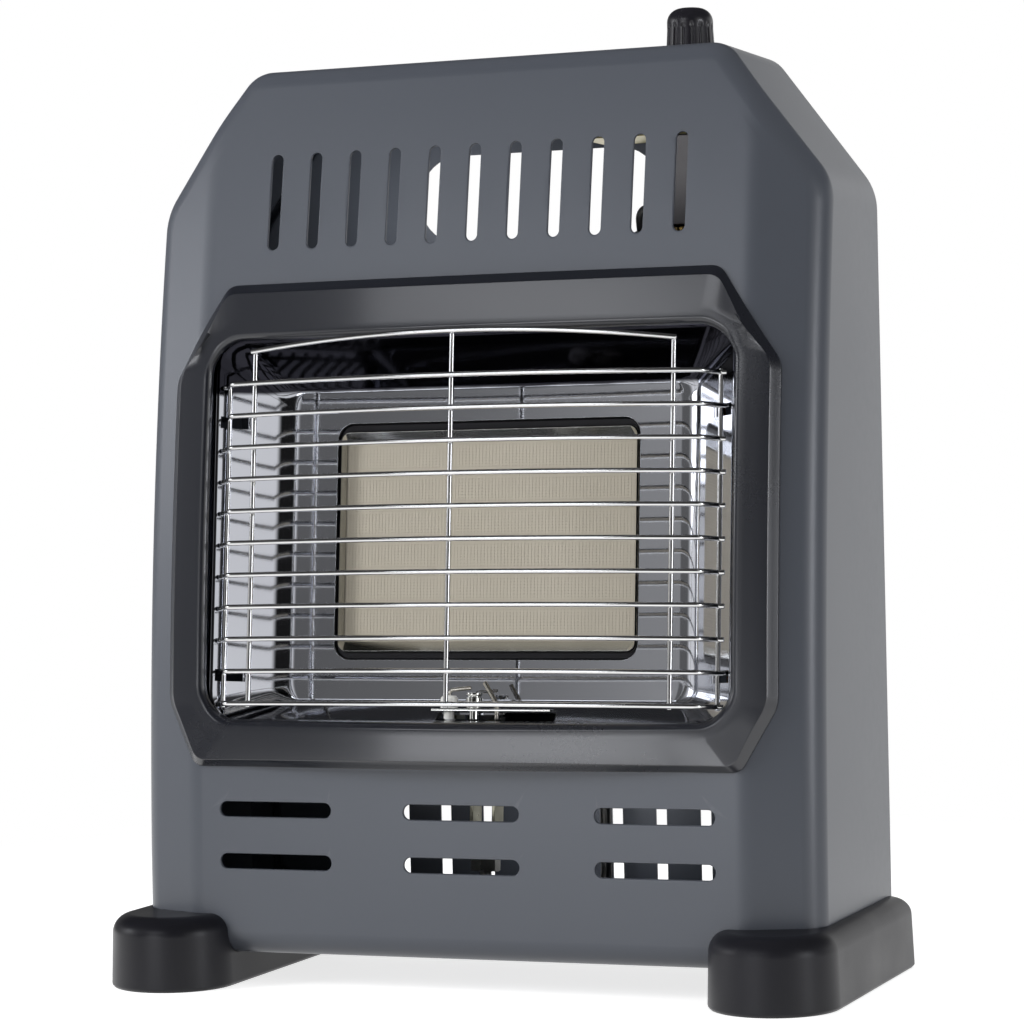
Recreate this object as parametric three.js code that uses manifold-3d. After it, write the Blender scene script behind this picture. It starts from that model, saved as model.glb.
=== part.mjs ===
// Portable gas cabinet heater, in millimetres.
// +Z up, +X to the right and -Y to the front as the heater is faced.
// The origin lies on the floor, under the middle of the two feet.

import * as THREE from 'three';
import { mergeVertices, mergeGeometries } from 'three/addons/utils/BufferGeometryUtils.js';
import Module from 'manifold-3d';

const wasm = await Module();
wasm.setup();

// ------------------------------------------------------------------ sizes

// Shared clearances and sheet
const GAP = 0.3;
const SHEET = 1.2;

// Cabinet cover
const COVER_HALF_WIDTH = 149;
const COVER_BASE_Z = 13.5;
const COVER_HEIGHT = 371.1;
const COVER_FRONT_Y = -47.1;
const COVER_DEPTH = 112.6;
const FRONT_BOW_RADIUS = 1613;
const FRONT_BOW_START = 1.5;
const BEVEL_WIDTH = 29;
const BEVEL_DEPTH = 10.8;
const BEVEL_BLEND = 4;
const SHOULDER_WIDTH = 43.6;
const SHOULDER_HEIGHT = 58.6;
const SHOULDER_LOW_RADIUS = 25;
const SHOULDER_TOP_RADIUS = 14;
const COVER_EDGE_RADIUS = 8;
const COVER_HEM_RADIUS = 10;
const COVER_FLANGE = 12;

// Slots of the cover
const TOP_SLOTS = 11;
const TOP_SLOT_PITCH = 18;
const TOP_SLOT_WIDTH = 5;
const TOP_SLOT_LENGTH = 40.4;
const TOP_SLOT_Z = 327.5;
const LOW_SLOT_PITCH = 83;
const LOW_SLOT_LENGTH = 50.6;
const LOW_SLOT_HEIGHT = 6.2;
const LOW_SLOT_Z = 63.3;
const LOW_SLOT_ROW_PITCH = 21.6;

// Rear panel
const REAR_RECESS = 7;
const REAR_RIM = 15;
const REAR_WALL_DRAFT = 3;
const REAR_SHEET = 1;
const REAR_CORNER_CUT = 8;
const WINDOW_HALF_WIDTH = 56;
const WINDOW_Z = 330.8;
const WINDOW_HEIGHT = 38;
const REAR_SLOTS = 8;
const REAR_SLOT_PITCH = 20;
const REAR_SLOT_WIDTH = 4.8;
const REAR_SLOT_LENGTH = 70;
const REAR_SLOT_Z = 63;

// Feet
const FOOT_HALF_WIDTH = 26.7;
const FOOT_OVERHANG = 9;
const FOOT_FRONT_Y = -71.5;
const FOOT_REAR_Y = 71.5;
const FOOT_HEIGHT = 30.5;
const FOOT_FILLET = 8;
const FOOT_DRAFT = 0.7;
const FOOT_REAR_RADIUS = 5;
const FOOT_SOLE_CHAMFER = 1.2;
const FOOT_SCREW_RADIUS = 2;
const FOOT_SCREW_HEAD_RADIUS = 4;
const FOOT_SCREW_HEAD = 2.6;
const FOOT_SCREW_INSET = 7;
const FOOT_SCREW_FRONT_Y = -22;
const FOOT_SCREW_REAR_Y = 46;
const FOOT_BORE_DEPTH = 9;
const COLLAR_WALL = 1.8;
const COLLAR_HEIGHT = 4;

// Bezel round the radiant opening
const BEZEL_HALF_WIDTH = 133.5;
const BEZEL_LOW_Z = 92;
const BEZEL_HEIGHT = 200.8;
const BEZEL_TOP_CUT_X = 25;
const BEZEL_TOP_CUT_Z = 39.5;
const BEZEL_LOW_CUT_X = 14;
const BEZEL_LOW_CUT_Z = 26;
const BEZEL_SIDE_BAND = 18.3;
const BEZEL_TOP_BAND = 23.5;
const BEZEL_LOW_BAND = 19.4;
const BEZEL_OPENING_RADIUS = 15;
const BEZEL_BOW = 10;
const BEZEL_EDGE_BEVEL = 3.7;
const BEZEL_LIP_RADIUS = 3.5;
const BEZEL_SHEET = 1.4;
const BEZEL_RETURN = 1;
const BEZEL_CORNER_CUT = 4;
const BEZEL_SEAT_EDGE = 0.6;
const BEZEL_SEAT_STEP = 1.5;

// Radiant unit: reflector, burner, guard and pilot lean back together
const UNIT_LEAN = 6.2;
const UNIT_Y = -12.5;
const UNIT_Z = 184;

// Reflector, a flared tray
const TRAY_SHEET = 0.6;
const TRAY_BACK_HALF_WIDTH = 90.5;
const TRAY_BACK_TOP = 64;
const TRAY_BACK_LOW = -67;
const TRAY_DEPTH = 20.7;
const TRAY_MOUTH_HALF_WIDTH = 114;
const TRAY_MOUTH_TOP = 83;
const TRAY_MOUTH_LOW = -76;
const TRAY_FLANGE = 6;
const TRAY_CORNER_RADIUS = 12;
const TRAY_SLOT_HEIGHT = 5;
const TRAY_SLOT_LENGTH = 9;

// Burner: ceramic plaque in a box, held by a bright frame
const PLAQUE_WIDTH = 132;
const PLAQUE_HEIGHT = 92;
const PLAQUE_THICKNESS = 13;
const PLAQUE_SETBACK = 5.5;
const PLAQUE_COVERED = 4.2;
const GASKET_WALL = 3.6;
const BURNER_WALL = 1.6;
const BURNER_DEPTH = 40;
const BURNER_FLANGE = 7;
const BURNER_FRONT = 0.9;
const BURNER_REAR_TAPER = 12;
const FRAME_SHEET = 0.6;
const FRAME_MARGIN_X = 1.6;
const FRAME_MARGIN_Z = 8;
const FRAME_RADIUS = 7;

// Mixer tube and injector under the burner
const MIXER_X = -8.5;
const MIXER_Y = 28.5;
const MIXER_RADIUS = 9;
const MIXER_WALL = 1;
const MIXER_SOCKET = 6;
const MIXER_LENGTH = 38;
const MIXER_BELL = 3;
const BRACKET_SHEET = 1.5;
const BRACKET_DROP = 41;
const BRACKET_NECK_DROP = 12;
const BRACKET_NECK_HALF_WIDTH = 5.7;
const BRACKET_DEPTH = 10;
const INJECTOR_RADIUS = 3.6;
const INJECTOR_NUT_RADIUS = 6.2;
const INJECTOR_NUT_HEIGHT = 6;
const INJECTOR_TIP = 9;
const INJECTOR_NECK_RADIUS = 3;
const INJECTOR_SHANK = 2.4;

// Guard of welded wires
const WIRE_RADIUS = 1.05;
const WIRES = 11;
const WIRE_PITCH = 13.32;
const WIRE_LOW = -69.2;
const GUARD_HALF_WIDTH = 103;
const GUARD_FRONT = 41;
const GUARD_CORNER = 30.5;
const GUARD_END_FLARE = 5.5;
const GUARD_END = 21.6;
const GUARD_TAIL = 2.6;
const GUARD_POST_INSET = 11;
const GUARD_ARCH_END = 77.4;
const GUARD_ARCH_RISE = 4.7;
const GUARD_BEND = 5;
const GUARD_HOOK_ROW = 1;
const GUARD_HOOK = 4.5;

// Pilot group on the floor of the tray
const PILOT_Y = -14.5;
const PILOT_SEAT = 0.8;
const PILOT_PLATE_LEFT = -15;
const PILOT_PLATE_RIGHT = 37;
const PILOT_PLATE_DEPTH = 8;
const CERAMIC_X = -8.6;
const CERAMIC_RADIUS = 3.6;
const CERAMIC_HEIGHT = 5.2;
const PILOT_TUBE_X = 2.4;
const PILOT_TUBE_RADIUS = 3.3;
const PILOT_TUBE_HEIGHT = 6.4;
const PROBE_X = 12.4;
const PROBE_RADIUS = 1;
const PROBE_RISE = 11;
const PROBE_LEAN = 5.6;
const ELECTRODE_RADIUS = 0.8;
const ELECTRODE_RISE = 7.8;
const ELECTRODE_REACH = 9.6;
const PILOT_NUT_DROP = 5;
const PILOT_NECK = 2;
const CERAMIC_NECK = 2.2;

// Control knob and gas valve under the top
const KNOB_SIDE_INSET = 70;
const KNOB_REAR_INSET = 32;
const KNOB_RADIUS = 10.9;
const KNOB_TOP_RADIUS = 9.6;
const KNOB_RISE = 18.8;
const KNOB_SKIRT = 12.6;
const KNOB_DOME = 6;
const KNOB_DOME_SHARE = 0.97;
const KNOB_FLUTES = 16;
const KNOB_FLUTE_DEPTH = 0.7;
const KNOB_WALL = 2;
const KNOB_HOLE_RADIUS = 12.8;
const KNOB_TRAVEL = 4;
const BOSS_RADIUS = 5.2;
const BOSS_RAISE = 2.3;
const SPINDLE_RADIUS = 3;
const SPINDLE_SQUARE = 4;
const SPRING_WIRE = 0.8;
const SPRING_TURNS = 5;
const SPRING_RADIUS = 4.4;
const PLATE_SHEET = 1.5;
const PLATE_DROP = 33;
const PLATE_LEFT = 45;
const PLATE_RIGHT = 43;
const PLATE_FRONT = 14;
const PLATE_REAR = 18;
const PLATE_TAB = 9;
const VALVE_HALF_WIDTH = 14;
const VALVE_HALF_DEPTH = 12;
const VALVE_HEIGHT = 37;
const VALVE_EDGE = 3;
const BUSH_RADIUS = 6.4;
const BUSH_HEIGHT = 9.5;
const VALVE_NUT_RADIUS = 9.5;
const VALVE_NUT_HEIGHT = 4;
const PLUG_RADIUS = 7;
const PLUG_TAPER = 1;
const PLUG_HEIGHT = 15;
const PLUG_DEPTH = 10;
const PLUG_SLACK = 0.3;
const MAGNET_RADIUS = 8.5;
const MAGNET_LENGTH = 22;
const PIEZO_RADIUS = 5.5;
const PIEZO_LENGTH = 34;
const PIEZO_OFFSET = 21;

// Gas inlet through the rear panel
const INLET_DROP = 27;
const INLET_RADIUS = 4.2;
const INLET_BORE = 2.2;
const INLET_BARB = 0.7;
const INLET_NUT_RADIUS = 8.5;
const INLET_NUT_LENGTH = 7;
const INLET_HOLE_RADIUS = 11;
const INLET_TIP_Y = 71;

// Pipes and leads
const BURNER_PIPE_RADIUS = 2.5;
const PILOT_PIPE_RADIUS = 1.6;
const LEAD_RADIUS = 1.1;
const LEAD_FALL = 30;
const PIPE_REAR_Y = 44;
const PIPE_DROP_X = 30;
const PIPE_CROSS_Z = 230;
const PIPE_LOW_Z = 30;
const PIPE_TURN = 20;

// Screws of the rear panel
const SCREW_RADIUS = 1.7;
const SCREW_HEAD_RADIUS = 3.6;
const SCREW_HEAD = 2;
const SCREW_LENGTH = 5;
const SCREW_SIDE_LOW_Z = 48;
const SCREW_SIDE_TOP_Z = 300;
const SCREW_TOP_X = 60;

// ------------------------------------------------------- derived positions

const COVER_TOP_Z = COVER_BASE_Z + COVER_HEIGHT;
const COVER_REAR_Y = COVER_FRONT_Y + COVER_DEPTH;
const SHOULDER_Z = COVER_TOP_Z - SHOULDER_HEIGHT;
const CREASE_X = COVER_HALF_WIDTH - BEVEL_WIDTH;
const FOOT_X = COVER_HALF_WIDTH + FOOT_OVERHANG - FOOT_HALF_WIDTH;
const FOOT_FLOOR_Z = COVER_BASE_Z - GAP;
const BASE_LOW_Z = COVER_BASE_Z + SHEET + GAP;
const BASE_TOP_Z = BASE_LOW_Z + SHEET;
const RIM_FRONT_Y = COVER_REAR_Y + GAP;
const RIM_REAR_Y = RIM_FRONT_Y + REAR_SHEET;
const PANEL_FRONT_Y = RIM_FRONT_Y - REAR_RECESS;
const BEZEL_TOP_Z = BEZEL_LOW_Z + BEZEL_HEIGHT;
const OPENING_HALF_WIDTH = BEZEL_HALF_WIDTH - BEZEL_SIDE_BAND;
const OPENING_LOW_Z = BEZEL_LOW_Z + BEZEL_LOW_BAND;
const OPENING_TOP_Z = BEZEL_TOP_Z - BEZEL_TOP_BAND;
const PLATE_TOP_Z = COVER_TOP_Z - PLATE_DROP;
const KNOB_X = COVER_HALF_WIDTH - KNOB_SIDE_INSET;
const KNOB_Y = COVER_REAR_Y - KNOB_REAR_INSET;
const GUARD_END_X = GUARD_HALF_WIDTH + GUARD_END_FLARE;
const GUARD_POST_X = GUARD_HALF_WIDTH - GUARD_POST_INSET;
const VALVE_TOP_Z = PLATE_TOP_Z - PLATE_SHEET - GAP;
const VALVE_LOW_Z = VALVE_TOP_Z - VALVE_HEIGHT;
const BUSH_TOP_Z = VALVE_TOP_Z + BUSH_HEIGHT;
const KNOB_TOP_Z = COVER_TOP_Z + KNOB_RISE;
const KNOB_LOW_Z = COVER_TOP_Z - KNOB_SKIRT;
const INLET_Z = VALVE_TOP_Z - INLET_DROP;
const VALVE_REAR_Y = KNOB_Y + VALVE_HALF_DEPTH;
const RAD = Math.PI / 180;

// --------------------------------------------------------------- solid kit

// Turns a closed geometry into a solid; faces always end up pointing out.
function solid(geometry) {
  const bare = geometry.clone();
  bare.deleteAttribute('normal');
  bare.deleteAttribute('uv');
  const merged = mergeVertices(bare, 1e-4);
  const p = merged.attributes.position.array;
  const tris = [];
  let volume = 0;
  const index = merged.index.array;
  for (let i = 0; i < index.length; i += 3) {
    const [a, b, c] = [index[i], index[i + 1], index[i + 2]];
    if (a === b || b === c || c === a) continue;
    tris.push(a, b, c);
    const [va, vb, vc] = [a, b, c].map((k) => new THREE.Vector3().fromArray(p, 3 * k));
    volume += va.dot(vb.cross(vc));
  }
  if (volume < 0) tris.reverse();
  return new wasm.Manifold(new wasm.Mesh({
    numProp: 3,
    vertProperties: new Float32Array(p),
    triVerts: new Uint32Array(tris),
  }));
}

const join = (first, ...rest) => rest.reduce((all, one) => all.add(one), first);
const cut = (first, ...rest) => rest.reduce((all, one) => all.subtract(one), first);

const heater = new THREE.Group();
const unit = new THREE.Group();
unit.position.set(0, UNIT_Y, UNIT_Z);
unit.rotation.x = -UNIT_LEAN * RAD;
heater.add(unit);

// Adds a named piece made of one solid, or of several that don't touch.
function piece(parent, name, body, color, roughness, metalness) {
  const mesh = body.getMesh();
  const geometry = new THREE.BufferGeometry();
  const count = mesh.vertProperties.length / mesh.numProp;
  const position = new Float32Array(count * 3);
  for (let i = 0; i < count; i++) {
    for (let k = 0; k < 3; k++) position[3 * i + k] = mesh.vertProperties[mesh.numProp * i + k];
  }
  geometry.setAttribute('position', new THREE.BufferAttribute(position, 3));
  geometry.setIndex(new THREE.BufferAttribute(new Uint32Array(mesh.triVerts), 1));
  geometry.computeVertexNormals();
  const material = new THREE.MeshStandardMaterial({ color, roughness, metalness });
  const part = new THREE.Mesh(geometry, material);
  part.name = name;
  parent.add(part);
  return part;
}

// Skins rings of points; the ends are capped unless the rings close on themselves.
function loft(rings, endless = false) {
  const n = rings[0].length;
  const m = rings.length;
  const index = [];
  for (let j = 0; j < (endless ? m : m - 1); j++) {
    const k = (j + 1) % m;
    for (let i = 0; i < n; i++) {
      const next = (i + 1) % n;
      index.push(j * n + i, j * n + next, k * n + next);
      index.push(j * n + i, k * n + next, k * n + i);
    }
  }
  if (!endless) {
    index.push(...cap(rings[0], 0, -1));
    index.push(...cap(rings[m - 1], (m - 1) * n, 1));
  }
  const geometry = new THREE.BufferGeometry();
  const position = new Float32Array(rings.flat(2));
  geometry.setAttribute('position', new THREE.BufferAttribute(position, 3));
  geometry.setIndex(index);
  return solid(geometry);
}

// Triangles that close one ring, wound along it (sense 1) or against it (-1).
function cap(ring, offset, sense) {
  const size = [0, 1, 2].map((k) => {
    const values = ring.map((p) => p[k]);
    return Math.max(...values) - Math.min(...values);
  });
  const thin = size.indexOf(Math.min(...size));
  const [u, v] = [0, 1, 2].filter((k) => k !== thin);
  const flat = ring.map((p) => new THREE.Vector2(p[u], p[v]));
  const along = Math.sign(THREE.ShapeUtils.area(flat));
  const out = [];
  for (const face of THREE.ShapeUtils.triangulateShape(flat, [])) {
    const turn = Math.sign(THREE.ShapeUtils.area(face.map((k) => flat[k])));
    const order = turn === along * sense ? face : [...face].reverse();
    out.push(...order.map((k) => k + offset));
  }
  return out;
}

// Prisms of a shape: upright, front to back, and side to side.
function prismZ(shape, low, high, segments = 6) {
  const g = new THREE.ExtrudeGeometry(shape, {
    depth: high - low, bevelEnabled: false, curveSegments: segments,
  });
  g.translate(0, 0, low);
  return solid(g);
}

function prismY(shape, low, high, segments = 6) {
  const g = new THREE.ExtrudeGeometry(shape, {
    depth: high - low, bevelEnabled: false, curveSegments: segments,
  });
  g.rotateX(Math.PI / 2);
  g.translate(0, high, 0);
  return solid(g);
}

function box(x0, x1, y0, y1, z0, z1) {
  const g = new THREE.BoxGeometry(x1 - x0, y1 - y0, z1 - z0);
  g.translate((x0 + x1) / 2, (y0 + y1) / 2, (z0 + z1) / 2);
  return solid(g);
}

// Turned piece about the upright axis; the profile is [radius, z] pairs from low to high.
function turned(profile, segments = 16) {
  const points = profile.map(([r, z]) => new THREE.Vector2(r, z));
  const g = new THREE.LatheGeometry(points, segments);
  g.rotateX(Math.PI / 2);
  return solid(g);
}

const rod = (r, low, high, segments = 16) => turned([[0, low], [r, low], [r, high], [0, high]], segments);

// The same turned about the front-to-back axis, with z read as depth.
function turnedY(profile, segments = 16) {
  const points = profile.map(([r, y]) => new THREE.Vector2(r, y));
  return solid(new THREE.LatheGeometry(points, segments));
}

function hexagon(radius) {
  const shape = new THREE.Shape();
  for (let i = 0; i < 6; i++) {
    const a = (i + 0.5) * 60 * RAD;
    const [x, y] = [radius * Math.cos(a), radius * Math.sin(a)];
    if (i === 0) shape.moveTo(x, y);
    else shape.lineTo(x, y);
  }
  shape.closePath();
  return shape;
}

function roundedRect(x0, x1, y0, y1, r) {
  const s = new THREE.Shape();
  s.moveTo(x0 + r, y0);
  s.lineTo(x1 - r, y0);
  s.absarc(x1 - r, y0 + r, r, -Math.PI / 2, 0);
  s.lineTo(x1, y1 - r);
  s.absarc(x1 - r, y1 - r, r, 0, Math.PI / 2);
  s.lineTo(x0 + r, y1);
  s.absarc(x0 + r, y1 - r, r, Math.PI / 2, Math.PI);
  s.lineTo(x0, y0 + r);
  s.absarc(x0 + r, y0 + r, r, Math.PI, 1.5 * Math.PI);
  return s;
}

// Points of a rounded rectangle, each corner with the same number of steps.
function rectRing(x0, x1, y0, y1, r, steps, place) {
  const corners = [[x1 - r, y0 + r, -90], [x1 - r, y1 - r, 0], [x0 + r, y1 - r, 90], [x0 + r, y0 + r, 180]];
  const ring = [];
  for (const [cx, cy, start] of corners) {
    for (let i = 0; i <= steps; i++) {
      const a = (start + (90 * i) / steps) * RAD;
      ring.push(place(cx + r * Math.cos(a), cy + r * Math.sin(a)));
    }
  }
  return ring;
}

// Softens each corner of a polygon with a short curve that starts at a distance from it.
function softened(corners, reach, steps = 2) {
  const n = corners.length;
  return corners.flatMap((corner, k) => {
    const [p, q, r] = [corners[(k + n - 1) % n], corner, corners[(k + 1) % n]]
      .map((v) => new THREE.Vector2(...v));
    const a = q.clone().add(p.clone().sub(q).setLength(reach));
    const b = q.clone().add(r.clone().sub(q).setLength(reach));
    return new THREE.QuadraticBezierCurve(a, q, b).getPoints(steps).map((v) => [v.x, v.y]);
  });
}

// A path whose rings sit exactly on the given points.
class Route extends THREE.Curve {
  constructor(points) {
    super();
    this.points = points;
  }

  getPoint(t, target = new THREE.Vector3()) {
    const at = t * (this.points.length - 1);
    const i = Math.min(Math.floor(at), this.points.length - 2);
    return target.lerpVectors(this.points[i], this.points[i + 1], at - i);
  }

  getPointAt(t, target) {
    return this.getPoint(t, target);
  }

  getTangentAt(t, target = new THREE.Vector3()) {
    const last = this.points.length - 1;
    const i = Math.round(t * last);
    const before = this.points[Math.max(i - 1, 0)];
    const after = this.points[Math.min(i + 1, last)];
    return target.subVectors(after, before).normalize();
  }
}

// A round wire or tube through points given as [x, y, z].
function wire(points, radius, sides = 5) {
  const route = new Route(points.map((p) => new THREE.Vector3(...p)));
  const section = new THREE.Shape();
  for (let i = 0; i < sides; i++) {
    const a = (2 * Math.PI * i) / sides;
    if (i === 0) section.moveTo(radius, 0);
    else section.lineTo(radius * Math.cos(a), radius * Math.sin(a));
  }
  section.closePath();
  return solid(new THREE.ExtrudeGeometry(section, {
    steps: points.length - 1, extrudePath: route, bevelEnabled: false,
  }));
}

// A smooth tube through a few bends, each bend rounded with an equal radius.
function bentTube(corners, bend, radius, sides = 8) {
  const v = corners.map((p) => new THREE.Vector3(...p));
  const points = [v[0]];
  for (let i = 1; i < v.length - 1; i++) {
    const back = v[i - 1].clone().sub(v[i]);
    const ahead = v[i + 1].clone().sub(v[i]);
    const reach = Math.min(bend, 0.45 * back.length(), 0.45 * ahead.length());
    const start = v[i].clone().add(back.setLength(reach));
    const end = v[i].clone().add(ahead.setLength(reach));
    const arc = new THREE.QuadraticBezierCurve3(start, v[i], end);
    points.push(...arc.getPoints(3));
  }
  points.push(v[v.length - 1]);
  return wire(points.map((p) => p.toArray()), radius, sides);
}

const moved = (body, x, y, z) => body.translate([x, y, z]);

// ----------------------------------------------------------- cabinet shape

// The shoulder plane's outward normal rises by this angle.
const SHOULDER_ANGLE = Math.atan2(SHOULDER_WIDTH, SHOULDER_HEIGHT);
const LOW_ARC = {
  x: COVER_HALF_WIDTH - SHOULDER_LOW_RADIUS,
  z: SHOULDER_Z - SHOULDER_LOW_RADIUS * Math.tan(SHOULDER_ANGLE / 2),
  r: SHOULDER_LOW_RADIUS,
};
const TOP_ARC = {
  x: COVER_HALF_WIDTH - SHOULDER_WIDTH
    - SHOULDER_TOP_RADIUS * Math.tan((Math.PI / 2 - SHOULDER_ANGLE) / 2),
  z: COVER_TOP_Z - SHOULDER_TOP_RADIUS,
  r: SHOULDER_TOP_RADIUS,
};

// The front leans back in one long arc, upright near the base.
function frontY(z) {
  const rise = z - COVER_BASE_Z - FRONT_BOW_START;
  return COVER_FRONT_Y + (rise * rise) / (2 * FRONT_BOW_RADIUS);
}

// How far the splayed bevels fall back at a distance x from the middle.
function bevelY(x) {
  const slope = BEVEL_DEPTH / BEVEL_WIDTH;
  const past = Math.abs(x) - CREASE_X + BEVEL_BLEND;
  if (past <= 0) return 0;
  if (past < 2 * BEVEL_BLEND) return (slope * past * past) / (4 * BEVEL_BLEND);
  return slope * (past - BEVEL_BLEND);
}

// Distance from a point of the front view to the outline's side, shoulder or top.
function edgeDistance(x, z, inset) {
  const px = Math.abs(x);
  for (const [arc, from, to] of [[LOW_ARC, 0, SHOULDER_ANGLE], [TOP_ARC, SHOULDER_ANGLE, Math.PI / 2]]) {
    const angle = Math.atan2(z - arc.z, px - arc.x);
    const reach = Math.hypot(z - arc.z, px - arc.x);
    if (reach > 1e-6 && angle >= from && angle <= to) return arc.r - inset - reach;
  }
  const side = COVER_HALF_WIDTH - inset - px;
  const top = COVER_TOP_Z - inset - z;
  const along = (px - LOW_ARC.x) * Math.cos(SHOULDER_ANGLE) + (z - LOW_ARC.z) * Math.sin(SHOULDER_ANGLE);
  return Math.min(side, top, LOW_ARC.r - inset - along);
}

// Set-back of a rounded edge of radius r at distance d from it.
function roundOff(d, r) {
  if (d >= r) return 0;
  const short = r - Math.max(d, 0);
  return r - Math.sqrt(Math.max(r * r - short * short, 0));
}

// Front surface of the cover; a positive inset lies inside the sheet.
function surfaceY(x, z, inset) {
  const edge = roundOff(edgeDistance(x, z, inset), COVER_EDGE_RADIUS - inset);
  const hem = roundOff(z - COVER_BASE_Z - inset, COVER_HEM_RADIUS - inset);
  return frontY(z) + bevelY(x) + inset + Math.hypot(edge, hem);
}

// Heights of the outline with its half width and the tilt of its side.
function outlineRows(inset) {
  const low = COVER_BASE_Z + inset;
  const rows = [];
  const hem = COVER_HEM_RADIUS - inset;
  for (let i = 0; i <= 3; i++) {
    rows.push({ z: low + hem * (1 - Math.cos((i * Math.PI) / 6)), w: COVER_HALF_WIDTH - inset, a: 0 });
  }
  const straight = LOW_ARC.z - low - hem;
  for (let i = 1; i <= 4; i++) {
    rows.push({ z: low + hem + (straight * i) / 5, w: COVER_HALF_WIDTH - inset, a: 0 });
  }
  const arc = (c, from, to, steps, skip) => {
    for (let i = skip; i <= steps; i++) {
      const a = from + ((to - from) * i) / steps;
      rows.push({ z: c.z + (c.r - inset) * Math.sin(a), w: c.x + (c.r - inset) * Math.cos(a), a });
    }
  };
  arc(LOW_ARC, 0, SHOULDER_ANGLE, 2, 0);
  const from = rows[rows.length - 1];
  const toZ = TOP_ARC.z + (TOP_ARC.r - inset) * Math.sin(SHOULDER_ANGLE);
  const toW = TOP_ARC.x + (TOP_ARC.r - inset) * Math.cos(SHOULDER_ANGLE);
  for (const t of [0.35, 0.65, 0.87]) {
    rows.push({ z: from.z + (toZ - from.z) * t, w: from.w + (toW - from.w) * t, a: SHOULDER_ANGLE });
  }
  arc(TOP_ARC, SHOULDER_ANGLE, Math.PI / 2, 4, 0);
  return rows;
}

// One level of the cabinet's solid form, from rear left round the front to rear right.
function cabinetRing({ z, w, a }, inset, rearY) {
  const r = COVER_EDGE_RADIUS - inset;
  const columns = [0, 30, 60, 90].map((t) => (r * (1 - Math.cos(t * RAD))) / Math.max(Math.cos(a), 0.6));
  const outer = Math.min(CREASE_X + BEVEL_BLEND, w - columns[3] - BEVEL_BLEND);
  const half = [...columns.map((d) => w - d), outer, outer - 2 * BEVEL_BLEND];
  const left = half.map((x) => [-x, surfaceY(x, z, inset), z]);
  const right = half.map((x) => [x, surfaceY(x, z, inset), z]).reverse();
  return [[-w, rearY, z], ...left, ...right, [w, rearY, z]];
}

function cabinetForm(inset, rearY) {
  return loft(outlineRows(inset).map((row) => cabinetRing(row, inset, rearY)));
}

// The cabinet's front-view outline as a shape, inset all round and cut level at lowZ.
function outlineShape(inset, lowZ) {
  const rows = outlineRows(inset).filter((row) => row.z >= LOW_ARC.z);
  const points = [[COVER_HALF_WIDTH - inset, lowZ], ...rows.map(({ z, w }) => [w, z])];
  const mirror = points.map(([x, z]) => [-x, z]).reverse();
  const s = new THREE.Shape();
  [...points, ...mirror].forEach(([x, z], i) => (i === 0 ? s.moveTo(x, z) : s.lineTo(x, z)));
  s.closePath();
  return s;
}

// -------------------------------------------------------------- cover

const cavity = cabinetForm(SHEET, COVER_REAR_Y - SHEET);
let cover = cut(cabinetForm(0, COVER_REAR_Y), cavity);
cover = cut(
  cover,
  prismY(outlineShape(COVER_FLANGE, COVER_BASE_Z - 5), COVER_REAR_Y - SHEET - 1, COVER_REAR_Y + 5),
  box(
    -COVER_HALF_WIDTH + COVER_FLANGE, COVER_HALF_WIDTH - COVER_FLANGE,
    COVER_FRONT_Y + COVER_HEM_RADIUS + 4, COVER_REAR_Y + 5,
    COVER_BASE_Z - 5, COVER_BASE_Z + SHEET + 1,
  ),
);
for (let i = 0; i < TOP_SLOTS; i++) {
  const x = (i - (TOP_SLOTS - 1) / 2) * TOP_SLOT_PITCH;
  const [r, h] = [TOP_SLOT_WIDTH / 2, TOP_SLOT_LENGTH / 2];
  cover = cut(cover, prismY(roundedRect(x - r, x + r, TOP_SLOT_Z - h, TOP_SLOT_Z + h, r), -80, 20, 2));
}
for (const row of [-0.5, 0.5]) {
  for (const column of [-1, 0, 1]) {
    const x = column * LOW_SLOT_PITCH;
    const z = LOW_SLOT_Z + row * LOW_SLOT_ROW_PITCH;
    const [h, r] = [LOW_SLOT_LENGTH / 2, LOW_SLOT_HEIGHT / 2];
    cover = cut(cover, prismY(roundedRect(x - h, x + h, z - r, z + r, r), -80, 0, 2));
  }
}
// Radiant opening, just outside the bezel's return lip.
const OPENING_MARGIN = 2;
cover = cut(cover, prismY(roundedRect(
  -OPENING_HALF_WIDTH - OPENING_MARGIN, OPENING_HALF_WIDTH + OPENING_MARGIN,
  OPENING_LOW_Z - OPENING_MARGIN, OPENING_TOP_Z + OPENING_MARGIN,
  BEZEL_OPENING_RADIUS + OPENING_MARGIN,
), -80, 20, 4));
cover = cut(cover, moved(
  rod(KNOB_HOLE_RADIUS, COVER_TOP_Z - 10, COVER_TOP_Z + 10, 24), KNOB_X, KNOB_Y, 0,
));

// Screw places of the rear panel, on the middle of the cover's rear flange.
const screwX = COVER_HALF_WIDTH - COVER_FLANGE / 2;
const screwPlaces = [
  ...[SCREW_SIDE_LOW_Z, SCREW_SIDE_TOP_Z].flatMap((z) => [[-screwX, z], [screwX, z]]),
  [-SCREW_TOP_X, COVER_TOP_Z - COVER_FLANGE / 2],
  [SCREW_TOP_X, COVER_TOP_Z - COVER_FLANGE / 2],
];
const screwHole = turnedY([
  [0, COVER_REAR_Y - SHEET - 2], [SCREW_RADIUS + GAP, COVER_REAR_Y - SHEET - 2],
  [SCREW_RADIUS + GAP, RIM_REAR_Y + 2], [0, RIM_REAR_Y + 2],
], 8);
for (const [x, z] of screwPlaces) cover = cut(cover, moved(screwHole, x, 0, z));
piece(heater, 'front_cover', cover, 0x5a5e66, 0.45, 0.3);

// -------------------------------------------------------------- base plate

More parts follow.
